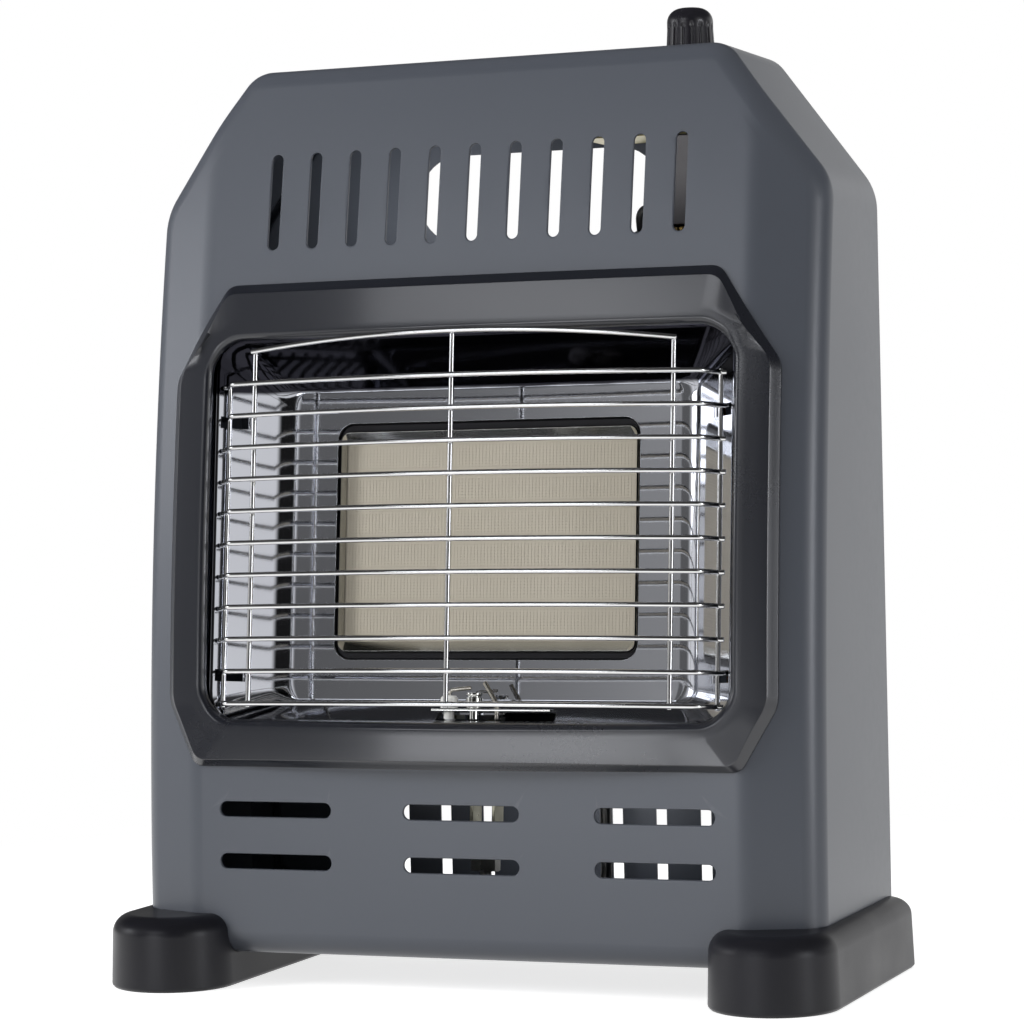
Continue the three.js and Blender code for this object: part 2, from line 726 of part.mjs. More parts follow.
let base = box(
  -COVER_HALF_WIDTH, COVER_HALF_WIDTH, COVER_FRONT_Y, COVER_REAR_Y - SHEET - GAP, BASE_LOW_Z, BASE_TOP_Z,
).intersect(cabinetForm(SHEET + GAP, COVER_REAR_Y));
const footScrewX = FOOT_X - FOOT_SCREW_INSET;
const footScrews = [
  [footScrewX, FOOT_SCREW_FRONT_Y], [footScrewX, FOOT_SCREW_REAR_Y],
  [-footScrewX, FOOT_SCREW_FRONT_Y], [-footScrewX, FOOT_SCREW_REAR_Y],
];
for (const [x, y] of footScrews) {
  const collar = rod(FOOT_SCREW_RADIUS + COLLAR_WALL, BASE_LOW_Z, BASE_TOP_Z + COLLAR_HEIGHT, 8);
  const hole = rod(FOOT_SCREW_RADIUS + GAP, BASE_LOW_Z - 1, BASE_TOP_Z + COLLAR_HEIGHT + 1, 8);
  base = cut(join(base, moved(collar, x, y, 0)), moved(hole, x, y, 0));
}
piece(heater, 'base_plate', base, 0x55585f, 0.5, 0.3);

// -------------------------------------------------------------- rear panel

const panelEdge = GAP + 1;
const rim = prismY(outlineShape(panelEdge, BASE_TOP_Z), RIM_FRONT_Y, RIM_REAR_Y);
// The pressed-in field follows the outline at a margin, with softened corners.
function fieldRing(margin, y) {
  const x = COVER_HALF_WIDTH - margin;
  const shoulderZ = SHOULDER_Z - margin * Math.tan(SHOULDER_ANGLE / 2);
  const topX = COVER_HALF_WIDTH - SHOULDER_WIDTH - margin * Math.tan((Math.PI / 2 - SHOULDER_ANGLE) / 2);
  const topZ = COVER_TOP_Z - margin;
  const lowZ = BASE_TOP_Z + margin;
  const corners = [[x, lowZ], [x, shoulderZ], [topX, topZ], [-topX, topZ], [-x, shoulderZ], [-x, lowZ]];
  return softened(corners, REAR_CORNER_CUT).map(([px, pz]) => [px, y, pz]);
}
const pressOut = loft([
  fieldRing(REAR_RIM + REAR_WALL_DRAFT, PANEL_FRONT_Y),
  fieldRing(REAR_RIM, RIM_FRONT_Y + REAR_SHEET / 2),
]);
const pressIn = loft([
  fieldRing(REAR_RIM + REAR_WALL_DRAFT + REAR_SHEET, PANEL_FRONT_Y + REAR_SHEET),
  fieldRing(REAR_RIM + REAR_SHEET - 0.2, RIM_REAR_Y + 0.01),
]);
let panel = cut(join(rim, pressOut), pressIn);
panel = cut(panel, prismY(roundedRect(
  -WINDOW_HALF_WIDTH, WINDOW_HALF_WIDTH,
  WINDOW_Z - WINDOW_HEIGHT / 2, WINDOW_Z + WINDOW_HEIGHT / 2, WINDOW_HEIGHT / 2,
), PANEL_FRONT_Y - 5, RIM_REAR_Y + 5, 6));
for (let i = 0; i < REAR_SLOTS; i++) {
  const x = (i - (REAR_SLOTS - 1) / 2) * REAR_SLOT_PITCH;
  const [r, h] = [REAR_SLOT_WIDTH / 2, REAR_SLOT_LENGTH / 2];
  panel = cut(panel, prismY(
    roundedRect(x - r, x + r, REAR_SLOT_Z - h, REAR_SLOT_Z + h, r), PANEL_FRONT_Y - 5, RIM_REAR_Y + 5, 2,
  ));
}
panel = cut(panel, moved(turnedY([
  [0, PANEL_FRONT_Y - 3], [INLET_HOLE_RADIUS, PANEL_FRONT_Y - 3],
  [INLET_HOLE_RADIUS, RIM_REAR_Y + 3], [0, RIM_REAR_Y + 3],
], 16), KNOB_X, 0, INLET_Z));
for (const [x, z] of screwPlaces) panel = cut(panel, moved(screwHole, x, 0, z));
piece(heater, 'rear_panel', panel, 0x55585f, 0.5, 0.3);

const screw = turnedY([
  [0, RIM_REAR_Y - SCREW_LENGTH], [SCREW_RADIUS, RIM_REAR_Y - SCREW_LENGTH],
  [SCREW_RADIUS, RIM_REAR_Y + GAP], [SCREW_HEAD_RADIUS, RIM_REAR_Y + GAP],
  [SCREW_HEAD_RADIUS * 0.7, RIM_REAR_Y + GAP + SCREW_HEAD], [0, RIM_REAR_Y + GAP + SCREW_HEAD],
], 8);
screwPlaces.forEach(([x, z], i) => {
  piece(heater, `rear_screw_${i + 1}`, moved(screw, x, 0, z), 0xb9b9b4, 0.35, 0.9);
});

// -------------------------------------------------------------- feet

// Plan of a foot: a half round front and a squared rear, drawn in by an inset.
function footRing(inset, z) {
  const r = FOOT_HALF_WIDTH - inset;
  const cy = FOOT_FRONT_Y + FOOT_HALF_WIDTH;
  const ring = [];
  for (let i = 0; i <= 10; i++) {
    const a = Math.PI + (Math.PI * i) / 10;
    ring.push([r * Math.cos(a), cy + r * Math.sin(a), z]);
  }
  const rear = FOOT_REAR_Y - inset;
  for (const [side, start] of [[1, 0], [-1, 90]]) {
    for (let i = 0; i <= 2; i++) {
      const a = (start + 45 * i) * RAD;
      const c = [side * (r - FOOT_REAR_RADIUS), rear - FOOT_REAR_RADIUS];
      ring.push([c[0] + FOOT_REAR_RADIUS * Math.cos(a), c[1] + FOOT_REAR_RADIUS * Math.sin(a), z]);
    }
  }
  return ring;
}

const filletZ = FOOT_HEIGHT - FOOT_FILLET;
const footRings = [footRing(FOOT_SOLE_CHAMFER, 0), footRing(0, FOOT_SOLE_CHAMFER)];
for (let i = 0; i <= 3; i++) {
  const a = (i * Math.PI) / 6;
  footRings.push(footRing(FOOT_DRAFT + FOOT_FILLET * (1 - Math.cos(a)), filletZ + FOOT_FILLET * Math.sin(a)));
}
const footBlock = loft(footRings);
const pocket = cabinetForm(-GAP, RIM_REAR_Y + GAP);
const bore = turned([
  [0, -1], [FOOT_SCREW_HEAD_RADIUS + 0.8, -1], [FOOT_SCREW_HEAD_RADIUS + 0.8, FOOT_BORE_DEPTH],
  [FOOT_SCREW_RADIUS + GAP, FOOT_BORE_DEPTH], [FOOT_SCREW_RADIUS + GAP, FOOT_FLOOR_Z + 1],
  [0, FOOT_FLOOR_Z + 1],
], 8);
for (const [name, side] of [['foot_left', -1], ['foot_right', 1]]) {
  let foot = cut(moved(footBlock, side * FOOT_X, 0, 0), pocket);
  for (const [x, y] of footScrews) {
    if (Math.sign(x) === side) foot = cut(foot, moved(bore, x, y, 0));
  }
  piece(heater, name, foot, 0x2a2830, 0.5, 0);
}

const footScrewLow = FOOT_BORE_DEPTH - GAP - FOOT_SCREW_HEAD;
const footScrew = turned([
  [0, footScrewLow], [FOOT_SCREW_HEAD_RADIUS, footScrewLow],
  [FOOT_SCREW_HEAD_RADIUS, FOOT_BORE_DEPTH - GAP], [FOOT_SCREW_RADIUS, FOOT_BORE_DEPTH - GAP],
  [FOOT_SCREW_RADIUS, BASE_TOP_Z + COLLAR_HEIGHT], [0, BASE_TOP_Z + COLLAR_HEIGHT],
], 8);
footScrews.forEach(([x, y], i) => {
  piece(heater, `foot_screw_${i + 1}`, moved(footScrew, x, y, 0), 0xb9b9b4, 0.35, 0.9);
});

// -------------------------------------------------------------- bezel

// Both outlines of the bezel run round together: each corner of the opening meets the two
// corners of the eight-sided outside, with extra stations along the bowed top and bottom.
function bezelOutline() {
  const bw = BEZEL_HALF_WIDTH;
  const outer = [
    [bw, BEZEL_LOW_Z + BEZEL_LOW_CUT_Z], [bw, BEZEL_TOP_Z - BEZEL_TOP_CUT_Z],
    [bw - BEZEL_TOP_CUT_X, BEZEL_TOP_Z], [-bw + BEZEL_TOP_CUT_X, BEZEL_TOP_Z],
    [-bw, BEZEL_TOP_Z - BEZEL_TOP_CUT_Z], [-bw, BEZEL_LOW_Z + BEZEL_LOW_CUT_Z],
    [-bw + BEZEL_LOW_CUT_X, BEZEL_LOW_Z], [bw - BEZEL_LOW_CUT_X, BEZEL_LOW_Z],
  ];
  const r = BEZEL_OPENING_RADIUS;
  const centres = [
    [OPENING_HALF_WIDTH - r, OPENING_TOP_Z - r, 0], [-OPENING_HALF_WIDTH + r, OPENING_TOP_Z - r, 90],
    [-OPENING_HALF_WIDTH + r, OPENING_LOW_Z + r, 180], [OPENING_HALF_WIDTH - r, OPENING_LOW_Z + r, 270],
  ];
  const stations = [];
  const soft = softened(outer, BEZEL_CORNER_CUT);
  const rounded = (k) => soft.slice(3 * k, 3 * k + 3);
  centres.forEach(([cx, cz, start], c) => {
    const [before, beyond] = [rounded((2 * c + 1) % 8), rounded((2 * c + 2) % 8)];
    const across = [1 / 3, 2 / 3].map((t) => [0, 1].map((k) => (
      before[2][k] + (beyond[0][k] - before[2][k]) * t
    )));
    const outs = [...before, ...across, ...beyond];
    outs.forEach((out, i) => {
      const a = (start + (90 * i) / (outs.length - 1)) * RAD;
      stations.push({ out, into: [cx + r * Math.cos(a), cz + r * Math.sin(a)] });
    });
    const after = { out: rounded((2 * c + 3) % 8)[0], into: null };
    const next = centres[(c + 1) % 4];
    const na = next[2] * RAD;
    after.into = [next[0] + r * Math.cos(na), next[1] + r * Math.sin(na)];
    const last = stations[stations.length - 1];
    const steps = c % 2 === 0 ? 5 : 3;
    for (let i = 1; i < steps; i++) {
      const t = i / steps;
      const mix = (u, v) => [u[0] + (v[0] - u[0]) * t, u[1] + (v[1] - u[1]) * t];
      stations.push({ out: mix(last.out, after.out), into: mix(last.into, after.into) });
    }
  });
  return stations;
}

const bezelFaceY = (x, z) => frontY(z) - BEZEL_BOW * (1 - (x / BEZEL_HALF_WIDTH) ** 2);
const bezelStations = bezelOutline();

// One loop of the bezel at a distance from its outside (from = 'out') or its opening ('into').
function bezelLoop(from, distance, depth) {
  return bezelStations.map(({ out, into }) => {
    const [base0, other] = from === 'out' ? [out, into] : [into, out];
    const length = Math.hypot(other[0] - base0[0], other[1] - base0[1]);
    const t = distance / length;
    const x = base0[0] + (other[0] - base0[0]) * t;
    const z = base0[1] + (other[1] - base0[1]) * t;
    return [x, depth(x, z), z];
  });
}

const onCover = (x, z) => frontY(z) + bevelY(x) - GAP;
// The face stands off the cover in the middle and runs down to a thin edge at the corners.
const face = (back, keep = 0) => (x, z) => Math.min(bezelFaceY(x, z) + back, onCover(x, z) - keep);
const inCover = (x, z) => frontY(z) + bevelY(x) + BEZEL_RETURN;
const lipY = (back, keep) => (x, z) => Math.min(bezelFaceY(x, z) + back, inCover(x, z) - keep);
const half = Math.SQRT1_2;
const edge = BEZEL_EDGE_BEVEL;
const lip = BEZEL_LIP_RADIUS;
const skin = BEZEL_SHEET;
const [seat, step] = [BEZEL_SEAT_EDGE, BEZEL_SEAT_STEP];
const bezel = loft([
  bezelLoop('out', 0, onCover),
  bezelLoop('out', 0, face(edge, seat)),
  bezelLoop('out', edge, face(0, seat + 2 * step)),
  bezelLoop('into', lip, face(0)),
  bezelLoop('into', lip * (1 - half), face(lip * (1 - half))),
  bezelLoop('into', 0, lipY(lip, step)),
  bezelLoop('into', 0, inCover),
  bezelLoop('into', skin, inCover),
  bezelLoop('into', skin, face(lip + skin * 0.4, step / 3)),
  bezelLoop('into', lip + skin * 0.4, face(skin, step / 3)),
  bezelLoop('out', edge + skin * 0.4, face(skin, step)),
  bezelLoop('out', skin, face(edge + skin * 0.4, step * 0.8)),
  bezelLoop('out', skin, onCover),
], true);
piece(heater, 'bezel', bezel, 0x1c1e26, 0.12, 0.2);

// -------------------------------------------------------------- reflector

const span = (a, b, t) => a + (b - a) * t;

// Ring of the tray at a share of the way from its back (0) to its mouth (1).
function trayRing(t, y, grow) {
  const x = span(TRAY_BACK_HALF_WIDTH, TRAY_MOUTH_HALF_WIDTH, t) + grow;
  const low = span(TRAY_BACK_LOW, TRAY_MOUTH_LOW, t) - grow;
  const top = span(TRAY_BACK_TOP, TRAY_MOUTH_TOP, t) + grow;
  const r = span(TRAY_CORNER_RADIUS / 2, TRAY_CORNER_RADIUS, t) + grow;
  return rectRing(-x, x, low, top, r, 3, (px, pz) => [px, y, pz]);
}

const trayOutside = loft([trayRing(0, TRAY_SHEET, TRAY_SHEET), trayRing(1, -TRAY_DEPTH, TRAY_SHEET)]);
const trayInside = loft([trayRing(0, 0, 0), trayRing(1.05, -TRAY_DEPTH * 1.05, 0)]);
const trayRim = loft([
  trayRing(1, -TRAY_DEPTH, TRAY_FLANGE), trayRing(1, -TRAY_DEPTH - TRAY_SHEET, TRAY_FLANGE),
]);
const BURNER_OPENING_X = PLAQUE_WIDTH / 2 + FRAME_MARGIN_X;
const BURNER_OPENING_Z = PLAQUE_HEIGHT / 2 - PLAQUE_COVERED + FRAME_MARGIN_Z;
let tray = cut(join(trayOutside, trayRim), trayInside);
tray = cut(tray, prismY(roundedRect(
  -BURNER_OPENING_X, BURNER_OPENING_X, -BURNER_OPENING_Z, BURNER_OPENING_Z, FRAME_RADIUS,
), -3, 3, 3));
const hookRows = [GUARD_HOOK_ROW, WIRES - 1 - GUARD_HOOK_ROW];
const wireZ = (row) => WIRE_LOW + row * WIRE_PITCH;
for (const row of hookRows) {
  for (const side of [-1, 1]) {
    const [x0, x1] = [TRAY_BACK_HALF_WIDTH + 4, TRAY_MOUTH_HALF_WIDTH + 6];
    const y0 = -GUARD_END + WIRE_RADIUS + GAP;
    const z1 = wireZ(row) + WIRE_RADIUS + GAP;
    tray = cut(tray, box(
      Math.min(side * x0, side * x1), Math.max(side * x0, side * x1),
      y0, y0 + TRAY_SLOT_LENGTH, z1 - TRAY_SLOT_HEIGHT, z1,
    ));
  }
}
// Window in the tray's floor under the pilot.
const floorZ = (y) => span(TRAY_BACK_LOW, TRAY_MOUTH_LOW, -y / TRAY_DEPTH);
tray = cut(tray, box(
  CERAMIC_X - CERAMIC_RADIUS - 1, PROBE_X + PROBE_RADIUS + 1.5,
  PILOT_Y - PILOT_PLATE_DEPTH / 2 + 0.5, PILOT_Y + PILOT_PLATE_DEPTH / 2 - 1,
  TRAY_MOUTH_LOW - 3, TRAY_BACK_LOW + 1,
));
piece(unit, 'reflector', tray, 0xd8dade, 0.08, 1);

// -------------------------------------------------------------- burner

const plaqueHalfX = PLAQUE_WIDTH / 2;
const plaqueHalfZ = PLAQUE_HEIGHT / 2;
const plaqueRear = PLAQUE_SETBACK + PLAQUE_THICKNESS;
piece(
  unit, 'ceramic_plaque',
  box(-plaqueHalfX, plaqueHalfX, PLAQUE_SETBACK, plaqueRear, -plaqueHalfZ, plaqueHalfZ), 0xaca496, 0.9, 0,
);

const gasketX = plaqueHalfX + GAP + GASKET_WALL;
const gasketZ = plaqueHalfZ + GAP + GASKET_WALL;
piece(unit, 'plaque_gasket', cut(
  box(-gasketX, gasketX, PLAQUE_SETBACK + 1, plaqueRear, -gasketZ, gasketZ),
  box(-plaqueHalfX - GAP, plaqueHalfX + GAP, 0, plaqueRear + 1, -plaqueHalfZ - GAP, plaqueHalfZ + GAP),
), 0xd9d4c8, 0.95, 0);

// Bright frame that slopes from the reflector's opening down to the plaque's edges.
const frameLoop = (inner, y) => {
  const x = inner ? plaqueHalfX - FRAME_SHEET : BURNER_OPENING_X - GAP;
  const z = inner ? plaqueHalfZ - PLAQUE_COVERED : BURNER_OPENING_Z - GAP;
  const r = inner ? 1 : FRAME_RADIUS - GAP;
  return rectRing(-x, x, -z, z, r, 3, (px, pz) => [px, y, pz]);
};
piece(unit, 'plaque_frame', loft([
  frameLoop(false, 0),
  frameLoop(true, PLAQUE_SETBACK - GAP - FRAME_SHEET),
  frameLoop(true, PLAQUE_SETBACK - GAP),
  frameLoop(false, FRAME_SHEET + GAP),
], true), 0xdcdcd8, 0.15, 1);

const burnerX = gasketX + GAP + BURNER_WALL;
const burnerZ = gasketZ + GAP + BURNER_WALL;
const burnerRear = BURNER_FRONT + BURNER_DEPTH;
const seatY = plaqueRear + GAP;
const boxRing = (x, z, y, r) => rectRing(-x, x, -z, z, r, 2, (px, pz) => [px, y, pz]);
const chamberX = plaqueHalfX - BURNER_WALL;
const chamberZ = plaqueHalfZ - BURNER_WALL;
let burner = join(
  loft([
    boxRing(burnerX, burnerZ, BURNER_FRONT, 5), boxRing(burnerX, burnerZ, seatY + BURNER_WALL, 5),
    boxRing(burnerX - BURNER_REAR_TAPER, burnerZ - BURNER_REAR_TAPER / 2, burnerRear, 5),
  ]),
  loft([
    boxRing(burnerX + BURNER_FLANGE, burnerZ + BURNER_FLANGE, BURNER_FRONT, 6),
    boxRing(burnerX + BURNER_FLANGE, burnerZ + BURNER_FLANGE, BURNER_FRONT + BURNER_WALL, 6),
  ]),
);
burner = cut(
  burner,
  box(-gasketX - GAP, gasketX + GAP, BURNER_FRONT - 1, seatY, -gasketZ - GAP, gasketZ + GAP),
  loft([
    boxRing(chamberX, chamberZ, seatY - 1, 3), boxRing(chamberX, chamberZ, seatY + BURNER_WALL, 3),
    boxRing(
      chamberX - BURNER_REAR_TAPER, chamberZ - BURNER_REAR_TAPER / 2, burnerRear - BURNER_WALL, 3,
    ),
  ]),
);
const mixerTop = -burnerZ + MIXER_SOCKET;
const mixerLow = -burnerZ - MIXER_LENGTH;
burner = cut(burner, moved(rod(MIXER_RADIUS + GAP, mixerLow, mixerTop + 8, 16), MIXER_X, MIXER_Y, 0));
piece(unit, 'burner_box', burner, 0x8e8f90, 0.6, 0.7);

const mixer = turned([
  [MIXER_RADIUS - MIXER_WALL, mixerTop], [MIXER_RADIUS - MIXER_WALL, mixerLow + 2 * MIXER_BELL],
  [MIXER_RADIUS + MIXER_BELL - MIXER_WALL, mixerLow], [MIXER_RADIUS + MIXER_BELL, mixerLow],
  [MIXER_RADIUS, mixerLow + 2 * MIXER_BELL + 1], [MIXER_RADIUS, mixerTop],
  [MIXER_RADIUS - MIXER_WALL, mixerTop],
], 16);
piece(unit, 'mixer_tube', moved(mixer, MIXER_X, MIXER_Y, 0), 0x9a9b9c, 0.5, 0.8);

// Strap that hangs from the burner and holds the injector under the mixer's bell.
const strapX = MIXER_RADIUS + MIXER_BELL + 0.6;
const strapTop = -burnerZ - GAP;
const strapLow = mixerLow - BRACKET_DROP;
const neckZ = mixerLow - BRACKET_NECK_DROP;
// U-shaped outline with legs at a half width, drawn in to a narrower neck.
function strapOutline(halfWidth, neck, top, low) {
  const side = [[halfWidth, top], [halfWidth, mixerLow], [neck, neckZ], [neck, low]];
  const points = [...side, ...side.map(([x, z]) => [-x, z]).reverse()];
  const s = new THREE.Shape();
  points.forEach(([x, z], i) => (i === 0 ? s.moveTo(x, z) : s.lineTo(x, z)));
  s.closePath();
  return s;
}
const neckOut = BRACKET_NECK_HALF_WIDTH;
const strapOut = strapOutline(strapX + BRACKET_SHEET, neckOut, strapTop, strapLow);
const strapIn = strapOutline(strapX, neckOut - BRACKET_SHEET, strapTop + 1, strapLow + BRACKET_SHEET);
const strapY = [MIXER_Y - BRACKET_DEPTH / 2, MIXER_Y + BRACKET_DEPTH / 2];
const strap = cut(
  moved(prismY(strapOut, ...strapY), MIXER_X, 0, 0),
  moved(prismY(strapIn, strapY[0] - 1, strapY[1] + 1), MIXER_X, 0, 0),
  moved(rod(INJECTOR_NECK_RADIUS + GAP, strapLow - 1, strapLow + BRACKET_SHEET + 1), MIXER_X, MIXER_Y, 0),
);
piece(unit, 'injector_bracket', strap, 0xc9c2a0, 0.35, 0.9);

const nutTop = strapLow - GAP;
const nutLow = nutTop - INJECTOR_NUT_HEIGHT;
const injector = turned([
  [0, strapLow - GAP - INJECTOR_SHANK], [INJECTOR_NECK_RADIUS, strapLow - GAP - INJECTOR_SHANK],
  [INJECTOR_NECK_RADIUS, strapLow + BRACKET_SHEET + GAP],
  [INJECTOR_RADIUS, strapLow + BRACKET_SHEET + GAP],
  [INJECTOR_RADIUS, strapLow + BRACKET_SHEET + 4], [1.4, strapLow + BRACKET_SHEET + INJECTOR_TIP],
  [0, strapLow + BRACKET_SHEET + INJECTOR_TIP],
], 12);
piece(unit, 'injector', moved(injector, MIXER_X, MIXER_Y, 0), 0xc8a868, 0.3, 1);
const injectorNut = cut(
  prismZ(hexagon(INJECTOR_NUT_RADIUS), nutLow, nutTop),
  rod(INJECTOR_NECK_RADIUS + GAP, nutTop - INJECTOR_SHANK - GAP, nutTop + 1),
  rod(BURNER_PIPE_RADIUS + GAP, nutLow - 1, nutTop),
);
piece(unit, 'injector_nut', moved(injectorNut, MIXER_X, MIXER_Y, 0), 0xb9b9b4, 0.3, 0.9);

// -------------------------------------------------------------- guard

// Depth of the bowed wires at a distance x from the middle.
const guardSag = GUARD_FRONT - GUARD_CORNER;
const guardRadius = (GUARD_HALF_WIDTH ** 2 + guardSag ** 2) / (2 * guardSag);
const guardY = (x) => -GUARD_FRONT + guardRadius - Math.sqrt(guardRadius ** 2 - x * x);

// Half of a level wire, from the middle out to its tail beside the reflector's wall.
function guardHalf(hooked) {
  const bend = GUARD_HALF_WIDTH - GUARD_BEND;
  const points = [0, 0.36, 0.7, 1].map((t) => [bend * t, guardY(bend * t)]);
  const end = [GUARD_END_X, -GUARD_END];
  const corner = [GUARD_HALF_WIDTH, guardY(GUARD_HALF_WIDTH)];
  const away = [end[0] - corner[0], end[1] - corner[1]];
  const length = Math.hypot(...away);
  const turn = [0, 1].map((k) => corner[k] + (away[k] * Math.min(GUARD_BEND, length / 2)) / length);
  const mid = [0, 1].map((k) => corner[k] / 2 + (points[3][k] + turn[k]) / 4);
  const tail = hooked ? [end[0] + GUARD_HOOK, end[1] + GUARD_HOOK] : [end[0] + GUARD_TAIL, end[1] + 0.6];
  return [...points, mid, turn, end, tail];
}

function levelWire(row) {
  const right = guardHalf(hookRows.includes(row));
  const left = right.slice(1).map(([x, y]) => [-x, y]).reverse();
  return wire([...left, ...right].map(([x, y]) => [x, y, wireZ(row)]), WIRE_RADIUS);
}

const weld = 2 * WIRE_RADIUS - 0.35;
const wireTop = wireZ(WIRES - 1);
let guard = levelWire(0);
for (let row = 1; row < WIRES; row++) guard = join(guard, levelWire(row));
const archZ = (x) => GUARD_ARCH_END + GUARD_ARCH_RISE * (1 - (x / GUARD_POST_X) ** 2);
for (const x of [-GUARD_POST_X, 0, GUARD_POST_X]) {
  const y = guardY(x) + weld;
  guard = join(guard, wire([[x, y, WIRE_LOW - 1.5], [x, y, archZ(x)]], WIRE_RADIUS));
}
for (const side of [-1, 1]) {
  const x = side * GUARD_END_X;
  guard = join(guard, wire([
    [x, -GUARD_END + weld * 0.6, WIRE_LOW - 1.5], [x, -GUARD_END + weld * 0.6, wireTop + 1.5],
  ], WIRE_RADIUS));
}
const arch = [-1, -0.67, -0.33, 0, 0.33, 0.67, 1].map((t) => {
  const x = t * (GUARD_POST_X + 1.5);
  return [x, guardY(x) + weld * 0.3, archZ(x)];
});
guard = join(guard, wire(arch, WIRE_RADIUS));
piece(unit, 'guard', guard, 0xc8c8c8, 0.2, 1);

// -------------------------------------------------------------- pilot group

const pilotRear = PILOT_Y + PILOT_PLATE_DEPTH / 2;
const plateLow = floorZ(pilotRear) + GAP;
const plateTop = plateLow + PILOT_SEAT;
const stemLow = plateLow - PILOT_NUT_DROP - 4;
const pilotPlate = cut(
  box(PILOT_PLATE_LEFT, PILOT_PLATE_RIGHT, PILOT_Y - PILOT_PLATE_DEPTH / 2, pilotRear, plateLow, plateTop),
  ...[[CERAMIC_X, CERAMIC_NECK], [PILOT_TUBE_X, PILOT_NECK], [PROBE_X, PROBE_RADIUS]].map(
    ([x, r]) => moved(rod(r + GAP, plateLow - 1, plateTop + 1, 12), x, PILOT_Y, 0),
  ),
);
piece(unit, 'pilot_bracket', pilotPlate, 0xb9b9b4, 0.35, 0.9);

const pilotTop = plateTop + GAP + PILOT_TUBE_HEIGHT;
const pilotBurner = turned([
  [0, stemLow], [PILOT_NECK, stemLow], [PILOT_NECK, plateTop + GAP], [PILOT_TUBE_RADIUS, plateTop + GAP],
  [PILOT_TUBE_RADIUS, pilotTop - 2], [PILOT_TUBE_RADIUS - 0.6, pilotTop - 2],
  [PILOT_TUBE_RADIUS - 0.6, pilotTop - 1.2], [PILOT_TUBE_RADIUS, pilotTop - 1.2],
  [PILOT_TUBE_RADIUS, pilotTop], [0, pilotTop],
], 12);
piece(unit, 'pilot_burner', moved(pilotBurner, PILOT_TUBE_X, PILOT_Y, 0), 0xc4c2ba, 0.25, 1);

const ceramicTop = plateTop + GAP + CERAMIC_HEIGHT;
const ceramic = cut(
  turned([
    [0, stemLow], [CERAMIC_NECK, stemLow], [CERAMIC_NECK, plateTop + GAP],
    [CERAMIC_RADIUS, plateTop + GAP], [CERAMIC_RADIUS, ceramicTop - 1],
    [CERAMIC_RADIUS - 1, ceramicTop], [0, ceramicTop],
  ], 12),
  rod(ELECTRODE_RADIUS + GAP, stemLow - 1, ceramicTop + 1, 8),
);
piece(unit, 'electrode_ceramic', moved(ceramic, CERAMIC_X, PILOT_Y, 0), 0xf0efec, 0.4, 0);
piece(unit, 'spark_electrode', bentTube([
  [CERAMIC_X, PILOT_Y, stemLow], [CERAMIC_X, PILOT_Y, plateTop + ELECTRODE_RISE],
  [CERAMIC_X + ELECTRODE_REACH, PILOT_Y, plateTop + ELECTRODE_RISE + 0.8],
], 2, ELECTRODE_RADIUS, 6), 0x5a5650, 0.4, 1);
piece(unit, 'thermocouple_tip', bentTube([
  [PROBE_X, PILOT_Y, stemLow], [PROBE_X, PILOT_Y, plateTop + 2],
  [PROBE_X - PROBE_LEAN, PILOT_Y, plateTop + PROBE_RISE],
], 2, PROBE_RADIUS, 8), 0xc9c7c0, 0.2, 1);

// -------------------------------------------------------------- valve and knob

const atKnob = (body) => moved(body, KNOB_X, KNOB_Y, 0);
const [kx, ky] = [KNOB_X, KNOB_Y];
const innerForm = cabinetForm(SHEET + GAP, COVER_REAR_Y);
const plateBottom = PLATE_TOP_Z - PLATE_SHEET;
const plateFront = ky - PLATE_FRONT;
let valvePlate = join(
  box(kx - PLATE_LEFT, kx + PLATE_RIGHT, plateFront, ky + PLATE_REAR, plateBottom, PLATE_TOP_Z),
  box(kx - PLATE_LEFT, kx + PLATE_RIGHT, plateFront, plateFront + PLATE_SHEET, plateBottom, COVER_TOP_Z),
  box(
    kx - PLATE_LEFT, kx + PLATE_RIGHT, plateFront - PLATE_TAB, plateFront + PLATE_SHEET,
    COVER_TOP_Z - SHEET - GAP - PLATE_SHEET, COVER_TOP_Z,
  ),
).intersect(innerForm);
valvePlate = cut(valvePlate, atKnob(rod(BUSH_RADIUS + GAP, plateBottom - 1, PLATE_TOP_Z + 1)));
piece(heater, 'valve_bracket', valvePlate, 0xb5a878, 0.35, 0.9);

const plugTop = VALVE_TOP_Z - PLUG_DEPTH;
const plugLow = plugTop - PLUG_HEIGHT;
const slack = PLUG_SLACK;
const valve = cut(
  join(
    prismZ(roundedRect(
      kx - VALVE_HALF_WIDTH, kx + VALVE_HALF_WIDTH, ky - VALVE_HALF_DEPTH, ky + VALVE_HALF_DEPTH, VALVE_EDGE,
    ), VALVE_LOW_Z, VALVE_TOP_Z, 3),
    atKnob(rod(BUSH_RADIUS, VALVE_TOP_Z - 1, BUSH_TOP_Z)),
  ),
  atKnob(turned([
    [0, VALVE_LOW_Z - 1], [PLUG_RADIUS + slack, VALVE_LOW_Z - 1], [PLUG_RADIUS + slack, plugLow],
    [PLUG_RADIUS - PLUG_TAPER + slack, plugTop + slack], [SPINDLE_RADIUS + slack, plugTop + slack],
    [SPINDLE_RADIUS + slack, BUSH_TOP_Z + 1], [0, BUSH_TOP_Z + 1],
  ])),
);
piece(heater, 'valve_body', valve, 0x3b3a3c, 0.5, 0.6);

